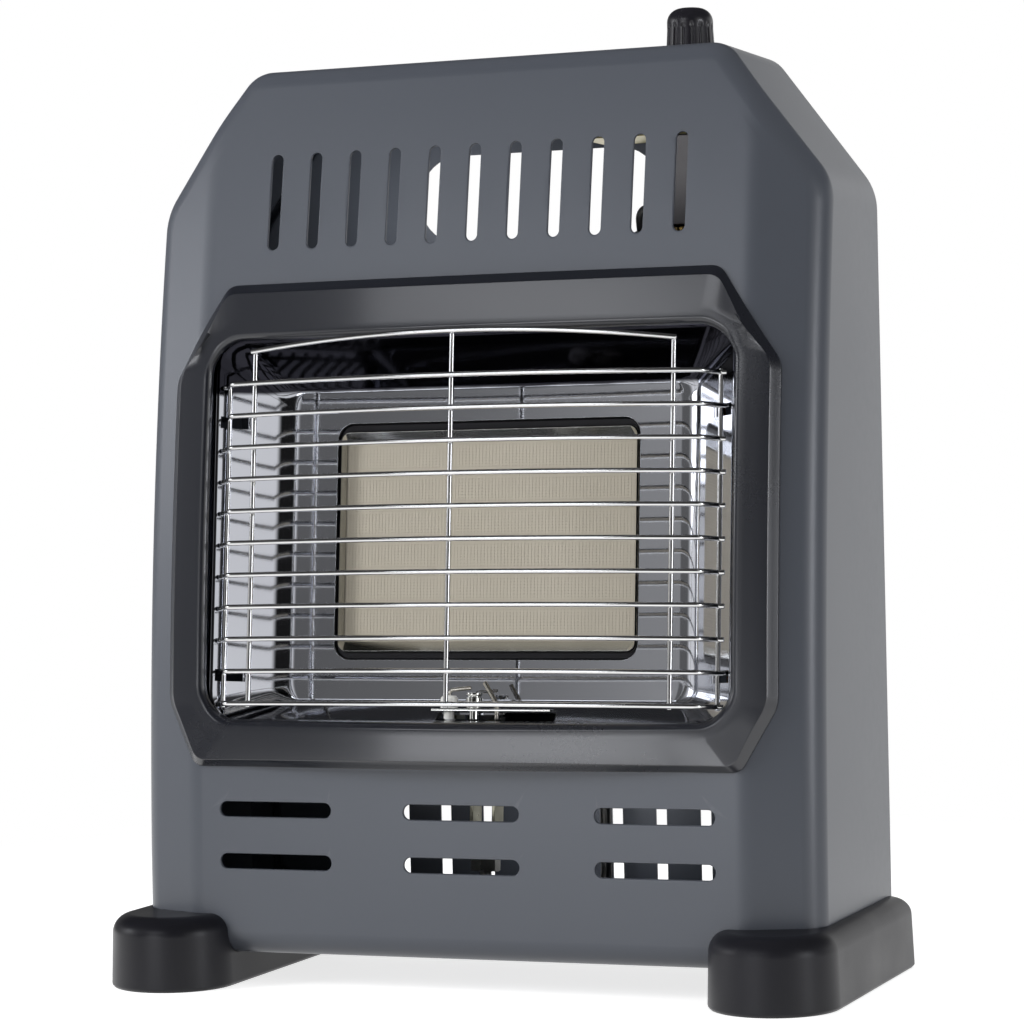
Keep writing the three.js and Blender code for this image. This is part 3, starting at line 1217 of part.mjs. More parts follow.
const socketLow = plugLow + 1.4;
const spindleLow = socketLow + KNOB_TRAVEL + GAP;
const squareTop = plugTop + KNOB_TRAVEL + 1.5;
const plug = cut(
  turned([
    [0, plugLow], [PLUG_RADIUS, plugLow], [PLUG_RADIUS - PLUG_TAPER, plugTop], [0, plugTop],
  ]),
  box(
    -SPINDLE_SQUARE / 2 - GAP, SPINDLE_SQUARE / 2 + GAP, -SPINDLE_SQUARE / 2 - GAP, SPINDLE_SQUARE / 2 + GAP,
    socketLow, plugTop + 1,
  ),
);
piece(heater, 'valve_plug', atKnob(plug), 0xc8a868, 0.3, 1);

const domeZ = KNOB_TOP_Z - KNOB_DOME;
const spindleTop = domeZ - 1;
const spindle = join(
  box(
    -SPINDLE_SQUARE / 2, SPINDLE_SQUARE / 2, -SPINDLE_SQUARE / 2, SPINDLE_SQUARE / 2,
    spindleLow, squareTop + 0.5,
  ),
  rod(SPINDLE_RADIUS, squareTop, spindleTop, 16),
);
piece(heater, 'valve_spindle', atKnob(spindle), 0xb9b9b4, 0.3, 1);

// Fluted cap: shallow grooves run up the sides and fade under the dome.
const knobSteps = KNOB_FLUTES * 3;
function knobRing(r, z, depth) {
  return Array.from({ length: knobSteps }, (_, i) => {
    const a = (2 * Math.PI * i) / knobSteps;
    const out = r - (i % 3 === 0 ? depth : 0);
    return [out * Math.cos(a), out * Math.sin(a), z];
  });
}
const knobRings = [
  knobRing(KNOB_RADIUS, KNOB_LOW_Z, KNOB_FLUTE_DEPTH),
  knobRing(KNOB_TOP_RADIUS, domeZ - 1.5, KNOB_FLUTE_DEPTH),
];
for (const t of [0, 30, 55, 75]) {
  const r = KNOB_TOP_RADIUS - KNOB_DOME + KNOB_DOME * Math.cos(t * RAD);
  knobRings.push(knobRing(r, domeZ + KNOB_DOME * Math.sin(t * RAD) * KNOB_DOME_SHARE, 0));
}
knobRings.push(knobRing((KNOB_TOP_RADIUS - KNOB_DOME) * 0.6, KNOB_TOP_Z, 0));
const knobInside = turned([
  [BOSS_RADIUS, BUSH_TOP_Z], [KNOB_RADIUS - KNOB_WALL, BUSH_TOP_Z],
  [KNOB_TOP_RADIUS - KNOB_WALL, domeZ - KNOB_WALL],
  [BOSS_RADIUS, domeZ - KNOB_WALL], [BOSS_RADIUS, BUSH_TOP_Z],
]);
const bossLow = KNOB_LOW_Z + BOSS_RAISE;
const knob = cut(
  loft(knobRings), knobInside,
  rod(BOSS_RADIUS + 0.01, KNOB_LOW_Z - 1, bossLow),
  rod(SPINDLE_RADIUS + GAP, KNOB_LOW_Z - 1, spindleTop + GAP),
);
piece(heater, 'control_knob', atKnob(knob), 0x24222a, 0.4, 0);

const coilLow = BUSH_TOP_Z + GAP + SPRING_WIRE / 2;
const coilTop = bossLow - GAP - SPRING_WIRE / 2;
const coil = Array.from({ length: SPRING_TURNS * 8 + 1 }, (_, i) => {
  const a = (2 * Math.PI * i) / 8;
  const t = i / (SPRING_TURNS * 8);
  return [SPRING_RADIUS * Math.cos(a), SPRING_RADIUS * Math.sin(a), coilLow + (coilTop - coilLow) * t];
});
piece(heater, 'return_spring', atKnob(wire(coil, SPRING_WIRE / 2, 5)), 0xc4c4c4, 0.25, 1);

piece(heater, 'valve_nut', atKnob(cut(
  prismZ(hexagon(VALVE_NUT_RADIUS), PLATE_TOP_Z + GAP, PLATE_TOP_Z + GAP + VALVE_NUT_HEIGHT),
  rod(BUSH_RADIUS + GAP, PLATE_TOP_Z, PLATE_TOP_Z + VALVE_NUT_HEIGHT + 1),
)), 0xc8a868, 0.3, 1);

const magnetTop = VALVE_LOW_Z - GAP;
const magnetLow = magnetTop - MAGNET_LENGTH;
piece(heater, 'magnet_unit', atKnob(turned([
  [0, magnetLow], [MAGNET_RADIUS - 3, magnetLow], [MAGNET_RADIUS - 3, magnetLow + 5],
  [MAGNET_RADIUS, magnetLow + 5], [MAGNET_RADIUS, magnetTop], [PLUG_RADIUS - GAP, magnetTop],
  [PLUG_RADIUS - GAP, plugLow - 1], [0, plugLow - 1],
], 12)), 0xc8a868, 0.35, 1);

const piezoTop = plateBottom - GAP;
const piezoLow = piezoTop - PIEZO_LENGTH;
piece(heater, 'piezo_igniter', moved(turned([
  [0, piezoLow], [PIEZO_RADIUS * 0.4, piezoLow], [PIEZO_RADIUS * 0.6, piezoLow + 4],
  [PIEZO_RADIUS, piezoLow + 4], [PIEZO_RADIUS, piezoTop], [0, piezoTop],
], 12), kx + PIEZO_OFFSET, ky, 0), 0x1d1d1f, 0.5, 0);

// -------------------------------------------------------------- gas inlet

const nozzleRoot = VALVE_REAR_Y + GAP;
const atInlet = (body) => moved(body, kx, 0, INLET_Z);
const barbs = [];
for (let i = 0; i < 3; i++) {
  const y = INLET_TIP_Y - 1 - i * 3.4;
  barbs.push([INLET_RADIUS, y], [INLET_RADIUS + INLET_BARB, y - 2.4], [INLET_RADIUS, y - 2.4]);
}
piece(heater, 'inlet_nozzle', atInlet(cut(
  turnedY([
    [0, nozzleRoot], [INLET_RADIUS, nozzleRoot], ...barbs.reverse(), [INLET_RADIUS, INLET_TIP_Y],
    [0, INLET_TIP_Y],
  ], 12),
  turnedY([
    [0, nozzleRoot - 1], [INLET_BORE, nozzleRoot - 1], [INLET_BORE, INLET_TIP_Y + 1], [0, INLET_TIP_Y + 1],
  ], 12),
)), 0xc8a868, 0.3, 1);
piece(heater, 'inlet_nut', atInlet(cut(
  prismY(hexagon(INLET_NUT_RADIUS), nozzleRoot, nozzleRoot + INLET_NUT_LENGTH),
  turnedY([
    [0, nozzleRoot - 1], [INLET_RADIUS + GAP, nozzleRoot - 1],
    [INLET_RADIUS + GAP, nozzleRoot + INLET_NUT_LENGTH + 1], [0, nozzleRoot + INLET_NUT_LENGTH + 1],
  ], 12),
)), 0xc8a868, 0.3, 1);

// -------------------------------------------------------------- pipes and leads

// A point of the leaning unit in the cabinet's own directions.
function unitPoint(x, y, z) {
  const [c, s] = [Math.cos(UNIT_LEAN * RAD), Math.sin(UNIT_LEAN * RAD)];
  return [x, UNIT_Y + y * c + z * s, UNIT_Z - y * s + z * c];
}

const pipeTop = nutTop - INJECTOR_SHANK - 2 * GAP;
piece(heater, 'burner_pipe', bentTube([
  [kx - VALVE_HALF_WIDTH - GAP, ky + 4, VALVE_LOW_Z + 8],
  [kx - VALVE_HALF_WIDTH - 11, ky + 4, VALVE_LOW_Z + 8],
  [kx - VALVE_HALF_WIDTH - 11, PIPE_REAR_Y, VALVE_LOW_Z - 20], [PIPE_DROP_X, PIPE_REAR_Y, PIPE_CROSS_Z],
  [PIPE_DROP_X, PIPE_REAR_Y, PIPE_LOW_Z],
  unitPoint(MIXER_X, MIXER_Y, nutLow - PIPE_TURN), unitPoint(MIXER_X, MIXER_Y, pipeTop),
], 12, BURNER_PIPE_RADIUS, 6), 0x9c9c98, 0.35, 0.9);

// Each lead drops beside the burner, crosses low and climbs into its piece from below.
const lead = (start, x, y, crossZ, endX) => [
  ...start, [x, y, start[start.length - 1][2] - LEAD_FALL], [x, y, crossZ + LEAD_FALL / 2],
  [x - LEAD_FALL, y - LEAD_FALL / 2, crossZ],
  unitPoint(endX, PILOT_Y, stemLow - (UNIT_Z - crossZ + stemLow)), unitPoint(endX, PILOT_Y, stemLow - GAP),
];
const pilotOut = [kx + 6, ky - VALVE_HALF_DEPTH - GAP, VALVE_LOW_Z + 16];
piece(heater, 'pilot_pipe', bentTube(
  lead([pilotOut, [pilotOut[0], pilotOut[1] - 8, pilotOut[2]]], 90, 8, 92, PILOT_TUBE_X),
  8, PILOT_PIPE_RADIUS, 5,
), 0x9c9c98, 0.35, 0.9);
piece(heater, 'thermocouple_lead', bentTube(
  lead([[kx, ky, magnetLow - GAP], [kx, ky, magnetLow - 8]], 98, 8, 98, PROBE_X), 8, LEAD_RADIUS, 5,
), 0xa8744a, 0.4, 0.9);
const sparkX = kx + PIEZO_OFFSET;
piece(heater, 'ignition_lead', bentTube(
  lead([[sparkX, ky, piezoLow - GAP], [sparkX, ky, piezoLow - 8]], 106, 8, 86, CERAMIC_X), 8, LEAD_RADIUS, 5,
), 0xe8e6e0, 0.5, 0);

export default heater;
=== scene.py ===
"""Finishes, fine surfaces and studio of a portable gas cabinet heater.

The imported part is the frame: every piece here stands where its solid stands, in the same
directions (+Z up, +X right and -Y front as the heater is faced). Sizes are in millimetres
and become metres when a piece is made.
"""

from __future__ import annotations

import logging
import math
from dataclasses import dataclass
from enum import Enum
from typing import Callable, Iterable, Sequence

import bmesh
import bpy
import numpy as np
from mathutils import Matrix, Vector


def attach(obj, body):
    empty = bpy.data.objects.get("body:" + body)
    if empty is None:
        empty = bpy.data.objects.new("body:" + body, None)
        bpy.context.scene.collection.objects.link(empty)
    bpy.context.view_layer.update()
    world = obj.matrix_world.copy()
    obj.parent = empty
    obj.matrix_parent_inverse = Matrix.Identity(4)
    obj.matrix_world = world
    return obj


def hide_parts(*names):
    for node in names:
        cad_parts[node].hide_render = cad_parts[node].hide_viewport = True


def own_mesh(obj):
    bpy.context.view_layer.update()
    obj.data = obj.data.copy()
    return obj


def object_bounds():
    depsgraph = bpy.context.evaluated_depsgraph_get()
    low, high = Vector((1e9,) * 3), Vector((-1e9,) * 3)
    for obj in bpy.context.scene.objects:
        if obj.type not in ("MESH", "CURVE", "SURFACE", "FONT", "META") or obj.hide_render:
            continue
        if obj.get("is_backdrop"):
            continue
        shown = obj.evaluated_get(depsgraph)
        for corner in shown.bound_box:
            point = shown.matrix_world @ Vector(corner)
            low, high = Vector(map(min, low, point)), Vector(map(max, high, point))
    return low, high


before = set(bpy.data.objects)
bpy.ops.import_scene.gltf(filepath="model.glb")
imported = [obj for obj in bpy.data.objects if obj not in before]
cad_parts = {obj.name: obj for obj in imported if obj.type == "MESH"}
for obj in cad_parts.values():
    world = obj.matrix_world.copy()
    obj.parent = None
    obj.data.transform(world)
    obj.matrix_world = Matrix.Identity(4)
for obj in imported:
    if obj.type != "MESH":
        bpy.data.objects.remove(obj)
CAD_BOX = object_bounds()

log = logging.getLogger("heater")

# A millimetre in metres, the distance in metres under which points are one, the gap between
# touching pieces, the thickness of the cover's sheet, and the degrees above which an edge stays sharp.
MM = 0.001
SAME = 1e-7
GAP = 0.3
SHEET = 1.2
SHARP = 34.0

Point = Sequence[float]
Colour = tuple[float, float, float, float]


# ------------------------------------------------------------------ forms


@dataclass
class Form:
    """A surface in millimetres: its points and the faces between them.

    A settled form's faces already point the right way, as those of a cavity do.
    """

    points: np.ndarray
    faces: list[tuple[int, ...]]
    settled: bool = False

    def moved(self, x: float = 0.0, y: float = 0.0, z: float = 0.0) -> Form:
        """Returns the form shifted by x, y and z millimetres."""
        return Form(self.points + np.array([x, y, z]), self.faces, self.settled)

    def mapped(self, change: Callable[[np.ndarray], np.ndarray]) -> Form:
        """Returns the form with its points passed through a function."""
        return Form(change(self.points), self.faces, self.settled)

    def joined(self, *others: Form) -> Form:
        """Puts this form and others side by side.

        Args:
            others: The other forms.

        Returns:
            One form that holds them all.
        """
        points, faces = [self.points], list(self.faces)
        offset = len(self.points)
        for other in others:
            points.append(other.points)
            faces += [tuple(i + offset for i in f) for f in other.faces]
            offset += len(other.points)
        return Form(np.vstack(points), faces)


def loft(rings: Iterable[np.ndarray], endless: bool = False, capped: bool = True) -> Form:
    """Skins rings that all have the same number of points.

    Args:
        rings: Rings of points, each (n, 3).
        endless: Whether the last ring joins the first, as in a hollow frame.
        capped: Whether the two end rings are closed with a face.

    Returns:
        The skin as a form.
    """
    stack = [np.asarray(r, float) for r in rings]
    n, m = len(stack[0]), len(stack)
    faces: list[tuple[int, ...]] = []
    for j in range(m if endless else m - 1):
        near, far = j * n, (j + 1) % m * n
        faces += [(near + i, near + (i + 1) % n, far + (i + 1) % n, far + i) for i in range(n)]
    if not endless and capped:
        faces.append(tuple(range(n))[::-1])
        faces.append(tuple((m - 1) * n + i for i in range(n)))
    return Form(np.vstack(stack), faces)


class Axis(Enum):
    """The direction a turned or cut piece is made along."""

    Z = "up"
    Y = "front to back"


def lathe(profile: Sequence[Point], segments: int = 48, axis: Axis = Axis.Z) -> Form:
    """Turns a profile about an axis.

    Args:
        profile: Pairs of radius and height, from one end round to the other.
        segments: Steps round the axis.
        axis: Direction of the axis.

    Returns:
        The turned form, closed where the profile starts and ends on the axis.
    """
    a = np.linspace(0, 2 * math.pi, segments, endpoint=False)
    rings = []
    for r, h in profile:
        r = max(r, 1e-3)
        flat = np.full(segments, h)
        if axis is Axis.Z:
            rings.append(np.column_stack([r * np.cos(a), r * np.sin(a), flat]))
        else:
            rings.append(np.column_stack([r * np.cos(a), flat, r * np.sin(a)]))
    closed = profile[0] == profile[-1]
    return loft(rings[:-1] if closed else rings, endless=closed)


def curve(start: np.ndarray, corner: np.ndarray, end: np.ndarray, steps: int) -> list[np.ndarray]:
    """A short curve that rounds a corner, or a row of corners at once.

    Args:
        start: Where it starts.
        corner: The corner that it bends towards.
        end: Where it ends.
        steps: Segments in it.

    Returns:
        The places along it.
    """
    shares = np.linspace(0, 1, steps + 1)
    return [(1 - t) ** 2 * start + 2 * t * (1 - t) * corner + t * t * end for t in shares]


def soft_profile(corners: Sequence[Point], radius: float, steps: int = 3) -> list[tuple[float, float]]:
    """Rounds the inner corners of an open profile.

    Args:
        corners: Pairs of radius and height.
        radius: Length that each rounding takes from its two sides, at most.
        steps: Segments in each rounding.

    Returns:
        The profile with each corner replaced by a short curve.
    """
    c = [np.array(p, float) for p in corners]
    out = [c[0]]
    for before, corner, after in zip(c, c[1:], c[2:]):
        back, ahead = before - corner, after - corner
        reach = min(radius, 0.45 * np.linalg.norm(back), 0.45 * np.linalg.norm(ahead))
        a = corner + back / np.linalg.norm(back) * reach
        b = corner + ahead / np.linalg.norm(ahead) * reach
        out += curve(a, corner, b, steps)
    out.append(c[-1])
    return [tuple(float(v) for v in p) for p in out]


def soft_path(corners: Sequence[Point], radius: float, steps: int = 8) -> np.ndarray:
    """Rounds the bends of a path in space, as soft_profile does."""
    return np.array(soft_profile(corners, radius, steps))


def tube(path: np.ndarray, radius: float, sides: int = 14) -> Form:
    """A round bar along a path, with slightly softened ends.

    Args:
        path: Points of the centre line, (n, 3).
        radius: Radius of the bar.
        sides: Steps round the bar.

    Returns:
        The closed bar.
    """
    path = np.asarray(path, float)
    ahead = np.gradient(path, axis=0)
    ahead /= np.linalg.norm(ahead, axis=1)[:, None]
    side = np.cross(ahead[0], [0.0, 0.0, 1.0])
    if np.linalg.norm(side) < 0.1:
        side = np.cross(ahead[0], [0.0, 1.0, 0.0])
    a = np.linspace(0, 2 * math.pi, sides, endpoint=False)[:, None]
    rings = []
    soft = radius * 0.25
    last = len(path) - 1
    for i, (p, t) in enumerate(zip(path, ahead)):
        side = side - t * side.dot(t)
        side /= np.linalg.norm(side)
        over = np.cross(t, side)
        circle = np.cos(a) * side + np.sin(a) * over
        if i == 0:
            rings.append(p + circle * (radius - soft))
            rings.append(p + t * soft + circle * radius)
        elif i == last:
            rings.append(p - t * soft + circle * radius)
            rings.append(p + circle * (radius - soft))
        else:
            rings.append(p + circle * radius)
    return loft(rings)


def rect_outline(x0: float, x1: float, z0: float, z1: float, r: float, steps: int = 8) -> np.ndarray:
    """Outline of a rounded rectangle.

    Args:
        x0: Its left side.
        x1: Its right side.
        z0: Its lower side.
        z1: Its upper side.
        r: Radius of its corners.
        steps: Segments in each corner.

    Returns:
        Its points, (n, 2), from the lower right corner round by the top.
    """
    out = []
    centres = ((x1 - r, z0 + r), (x1 - r, z1 - r), (x0 + r, z1 - r), (x0 + r, z0 + r))
    for k, (cx, cz) in enumerate(centres):
        for i in range(steps + 1):
            a = math.radians(90 * (k - 1) + 90 * i / steps)
            out.append((cx + r * math.cos(a), cz + r * math.sin(a)))
    return np.array(out)


def in_front_view(outline: np.ndarray, y: float | np.ndarray) -> np.ndarray:
    """Sets an outline of x and z at a depth y."""
    return np.column_stack([outline[:, 0], np.broadcast_to(y, len(outline)), outline[:, 1]])


def in_plan(outline: np.ndarray, z: float) -> np.ndarray:
    """Sets an outline of x and y at a height z."""
    return np.column_stack([outline, np.full(len(outline), z)])


def nut(radius: float, low: float, high: float, bore: float, axis: Axis = Axis.Z) -> Form:
    """A hexagon nut with chamfered corners.

    Args:
        radius: Half the distance across its corners.
        low: Start of the nut along its axis.
        high: End of the nut along its axis.
        bore: Radius of its hole.
        axis: Direction of the hole.

    Returns:
        The nut as a closed ring.
    """
    steps, ease, clear, slope = 72, 0.4, 0.05, 0.58
    a = np.linspace(0, 2 * math.pi, steps, endpoint=False)
    flat = radius * math.cos(math.pi / 6)
    hexagon = flat / np.cos((a % (math.pi / 3)) - math.pi / 6)
    hexagon = np.roll(hexagon, steps // 12)
    turned = np.minimum(hexagon, flat * 1.01)
    drop = (hexagon - turned) * slope
    rows = [
        (bore, low + ease), (bore + ease, low), (turned, low), (hexagon, low + drop + clear),
        (hexagon, high - drop - clear), (turned, high), (bore + ease, high), (bore, high - ease),
    ]
    rings = []
    for r, h in rows:
        r, h = np.broadcast_to(r, steps), np.broadcast_to(h, steps)
        x, across = r * np.cos(a), r * np.sin(a)
        rings.append(np.column_stack([x, across, h] if axis is Axis.Z else [x, h, across]))
    return loft(rings, endless=True)


# ------------------------------------------------------------ making pieces


def mesh_of(form: Form, name: str) -> bpy.types.Mesh:
    """Makes a mesh in metres whose faces point outwards.

    Args:
        form: The surface in millimetres.
        name: Name of the mesh.

    Returns:
        The mesh.
    """
    mesh = bpy.data.meshes.new(name)
    mesh.from_pydata((form.points * MM).tolist(), [], form.faces)
    work = bmesh.new()
    work.from_mesh(mesh)
    bmesh.ops.remove_doubles(work, verts=work.verts, dist=SAME)
    if not form.settled:
        bmesh.ops.recalc_face_normals(work, faces=work.faces)
    work.to_mesh(mesh)
    work.free()
    return mesh


def form_of(mesh: bpy.types.Mesh) -> Form:
    """Reads a mesh back as a form in millimetres.

    Args:
        mesh: The mesh, in metres.

    Returns:
        The settled form.
    """
    points = np.empty(len(mesh.vertices) * 3)
    mesh.vertices.foreach_get("co", points)
    return Form(points.reshape(-1, 3) / MM, [tuple(p.vertices) for p in mesh.polygons], True)


def carve(body: Form, tools: Sequence[Form]) -> Form:
    """Cuts tools out of a body.

    Args:
        body: The closed form that is cut.
        tools: Closed forms that don't touch each other.

    Returns:
        What is left of the body.
    """
    scene = bpy.context.scene.collection
    pair = []
    for label, form in (("carve_body", body), ("carve_tool", tools[0].joined(*tools[1:]))):
        thing = bpy.data.objects.new(label, mesh_of(form, label))
        scene.objects.link(thing)
        pair.append(thing)
    cutter = pair[0].modifiers.new("cut", "BOOLEAN")
    cutter.operation = "DIFFERENCE"
    cutter.solver = "EXACT"
    cutter.object = pair[1]
    graph = bpy.context.evaluated_depsgraph_get()
    result = bpy.data.meshes.new_from_object(pair[0].evaluated_get(graph))
    out = form_of(result)
    for thing in pair:
        mesh = thing.data
        bpy.data.objects.remove(thing)
        bpy.data.meshes.remove(mesh)
    bpy.data.meshes.remove(result)
    return out


class Body(Enum):
    """The moving bodies of the heater."""

    CABINET = "cabinet"
    PLUG = "plug"
    KNOB = "knob"


def piece(
    node: str,
    form: Form,
    finish: Finish,
    body: Body = Body.CABINET,
    sharp: float = SHARP,
    name: str = "",
) -> bpy.types.Object:
    """Makes a dressed piece that is shown in place of a solid.

    Args:
        node: Name of the solid.
        form: The piece's surface.
        finish: What it is finished in.
        body: The body that it rides on.
        sharp: Edges bent by more than this many degrees stay sharp.
        name: Name of the piece, where it isn't the solid's own with _dressed.

    Returns:
        The piece.
    """
    name = name or node + "_dressed"
    mesh = mesh_of(form, name)
    mesh.shade_smooth()
    mesh.set_sharp_from_angle(angle=math.radians(sharp))
    thing = bpy.data.objects.new(name, mesh)
    bpy.context.scene.collection.objects.link(thing)
    even = thing.modifiers.new("even_normals", "WEIGHTED_NORMAL")
    even.keep_sharp = True
    mesh.materials.append(finish.material())
    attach(thing, body.value)
    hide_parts(node)
    log.info("%s: %d faces on %s", name, len(mesh.polygons), body.value)
    return thing


def eased(node: str, width: float, angle: float = 30.0) -> Form:
    """A solid's own surface with its coplanar facets joined and its edges eased.

    Args:
        node: Name of the solid.
        width: Width of the easing in millimetres.
        angle: Edges bent by more than this many degrees are eased.

    Returns:
        The eased surface.
    """
    seam, coplanar, least = 20 * SAME, math.radians(0.6), math.radians(angle)
    work = bmesh.new()
    work.from_mesh(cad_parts[node].data)
    bmesh.ops.remove_doubles(work, verts=work.verts, dist=seam)
    bmesh.ops.dissolve_limit(work, angle_limit=coplanar, verts=work.verts, edges=work.edges)
    edges = [e for e in work.edges if len(e.link_faces) == 2 and e.calc_face_angle(0) > least]
    bmesh.ops.bevel(
        work,
        geom=edges,
        offset=width * MM,
        offset_type="OFFSET",
        segments=2,
        profile=0.5,
        affect="EDGES",
        clamp_overlap=True,
    )
    mesh = bpy.data.meshes.new("eased")
    work.to_mesh(mesh)
    work.free()
    out = form_of(mesh)
    bpy.data.meshes.remove(mesh)
    return out


# ---------------------------------------------------------------- finishes


GREY: Colour = (0.5, 0.5, 0.5, 1.0)
WHITE: Colour = (1.0, 1.0, 1.0, 1.0)


def linear(hexa: str) -> Colour:
    """Turns a colour as seen on screen into the linear colour that shaders use.

    Args:
        hexa: The colour as six hex digits.

    Returns:
        Its linear red, green and blue, and full alpha.
    """
    parts = [int(hexa[i:i + 2], 16) / 255 for i in (0, 2, 4)]
    r, g, b = [c / 12.92 if c <= 0.04045 else ((c + 0.055) / 1.055) ** 2.4 for c in parts]
    return (r, g, b, 1.0)


class Socket(Enum):
    """What a node group's socket carries."""

    COLOUR = "NodeSocketColor"
    NUMBER = "NodeSocketFloat"


class NodeGroup:
    """A shader node group with named sockets, built once and shared by the materials."""

    def __init__(self, name: str, inputs: dict[str, object], outputs: dict[str, Socket]) -> None:
        """Makes the group's sockets.

        Args:
            name: Name of the group.
            inputs: Each input's name and default; a tuple is a colour, a number a float.
            outputs: Each output's name and what it carries.
        """
        self.tree = bpy.data.node_groups.new(name, "ShaderNodeTree")
        for label, default in inputs.items():
            kind = Socket.COLOUR if isinstance(default, tuple) else Socket.NUMBER
            socket = self.tree.interface.new_socket(label, in_out="INPUT", socket_type=kind.value)
            socket.default_value = default
        for label, kind in outputs.items():
            self.tree.interface.new_socket(label, in_out="OUTPUT", socket_type=kind.value)
        self.entry = self.tree.nodes.new("NodeGroupInput")
        self.exit = self.tree.nodes.new("NodeGroupOutput")

    def node(self, kind: str, settings: dict[str, object] | None = None, **links: object) -> bpy.types.Node:
        """Adds a node.

        Args:
            kind: Blender's name of the node.
            settings: Properties to set on it.
            links: Inputs by name, with spaces as underscores: a socket is linked, a value is set.

        Returns:
            The node.
        """
        return add_node(self.tree, kind, settings, **links)

    def place(self) -> bpy.types.NodeSocket:
        """Returns the socket of the surface's own points."""
        return self.node("ShaderNodeTexCoord").outputs["Object"]

    def noise(self, detail: float, **links: object) -> bpy.types.NodeSocket:
        """Returns the socket of a soft random pattern with some detail."""
        return self.node("ShaderNodeTexNoise", Detail=detail, **links).outputs["Fac"]

    def spread(self, value: bpy.types.NodeSocket, low: float, high: float) -> bpy.types.NodeSocket:
        """Returns the socket of a value stretched from low and high to nought and one."""
        return self.node("ShaderNodeMapRange", Value=value, From_Min=low, From_Max=high).outputs[0]

    def sum(self, operation: str, *values: object) -> bpy.types.NodeSocket:
        """Returns the socket of a sum, as add_sum does."""
        return add_sum(self.tree, operation, *values)

    def mixed(self, share: object, first: object, second: object) -> bpy.types.NodeSocket:
        """Returns the socket of two colours mixed by the second one's share."""
        return self.node("ShaderNodeMix", {"data_type": "RGBA"}, i0=share, i6=first, i7=second).outputs[2]

    def give(self, **sockets: bpy.types.NodeSocket) -> None:
        """Links sockets to the group's outputs of their names."""
        for label, socket in sockets.items():
            self.tree.links.new(socket, self.exit.inputs[label])


def add_node(
    tree: bpy.types.NodeTree, kind: str, settings: dict[str, object] | None = None, **links: object,
) -> bpy.types.Node:
    """Adds a node to a tree.

    Args:
        tree: The tree.
        kind: Blender's name of the node.
        settings: Properties to set on it.
        links: Inputs by name, with spaces as underscores, or by number as in i0: a socket is
            linked, a value is set.

    Returns:
        The node.
    """
    made = tree.nodes.new(kind)
    for key, value in (settings or {}).items():
        setattr(made, key, value)
    for key, value in links.items():
        numbered = key[0] == "i" and key[1:].isdigit()
        target = made.inputs[int(key[1:]) if numbered else key.replace("_", " ")]
        if isinstance(value, bpy.types.NodeSocket):
            tree.links.new(value, target)
        else:
            target.default_value = value
    return made


def add_sum(tree: bpy.types.NodeTree, operation: str, *values: object) -> bpy.types.NodeSocket:
    """Adds a node that works out a number from others.

    Args:
        tree: The tree.
        operation: Blender's name of the sum.
        values: What goes into it, as sockets or numbers.

    Returns:
        The socket of the result.
    """
    links = {f"i{k}": value for k, value in enumerate(values)}
    return add_node(tree, "ShaderNodeMath", {"operation": operation}, **links).outputs[0]


_groups: dict[str, NodeGroup] = {}


def add_group(
    tree: bpy.types.NodeTree, name: str, build: Callable[[str], NodeGroup], **links: object,
) -> bpy.types.Node:
    """Adds a shared node group to a tree, and builds the group the first time.

    Args:
        tree: The tree.
        name: Name of the group.
        build: Builds the group under its name.
        links: The group's inputs, as for add_node.

    Returns:
        The node that holds the group.
    """
    if name not in _groups:
        _groups[name] = build(name)
    return add_node(tree, "ShaderNodeGroup", {"node_tree": _groups[name].tree}, **links)


def texture_group(name: str) -> NodeGroup:
    """Starts a group of surface detail: two colours in patches, a fine pattern and two roughnesses.

    Args:
        name: Name of the group.

    Returns:
        The group with its sockets.
    """
    return NodeGroup(
        name,
        {"Colour": GREY, "Patches": GREY, "Patch amount": 0.3, "Patch scale": 14.0, "Fine scale": 900.0,
         "Smooth": 0.3, "Rough": 0.4},
        {"Color": Socket.COLOUR, "Roughness": Socket.NUMBER, "Height": Socket.NUMBER},
    )


def finish_texture(
    g: NodeGroup, patches: bpy.types.NodeSocket, pattern: bpy.types.NodeSocket, fine_share: float,
) -> NodeGroup:
    """Links a texture's patches and fine pattern to its colour, roughness and height.

    Args:
        g: The group.
        patches: Where the second colour lies, from nought to one.
        pattern: The fine pattern.
        fine_share: Share of the pattern in the roughness.

    Returns:
        The finished group.
    """
    o = g.entry.outputs
    share = g.sum("MULTIPLY", patches, o["Patch amount"])
    both = g.sum("MULTIPLY", pattern, fine_share)
    total = g.sum("MULTIPLY_ADD", patches, 1.0 - fine_share, both)
    rough = g.node("ShaderNodeMapRange", Value=total, To_Min=o["Smooth"], To_Max=o["Rough"]).outputs[0]
    g.give(Color=g.mixed(share, o["Colour"], o["Patches"]), Roughness=rough, Height=pattern)
    return g


def grain_group(name: str) -> NodeGroup:
    """Speckle and soft patches of a painted, moulded or cast surface.

    Args:
        name: Name of the group.

    Returns:
        The group.
    """
    g = texture_group(name)
    o, place = g.entry.outputs, g.place()
    patches = g.spread(g.noise(3.0, Vector=place, Scale=o["Patch scale"]), 0.35, 0.65)
    grain = g.noise(2.0, Vector=place, Scale=o["Fine scale"])
    return finish_texture(g, patches, grain, 0.35)


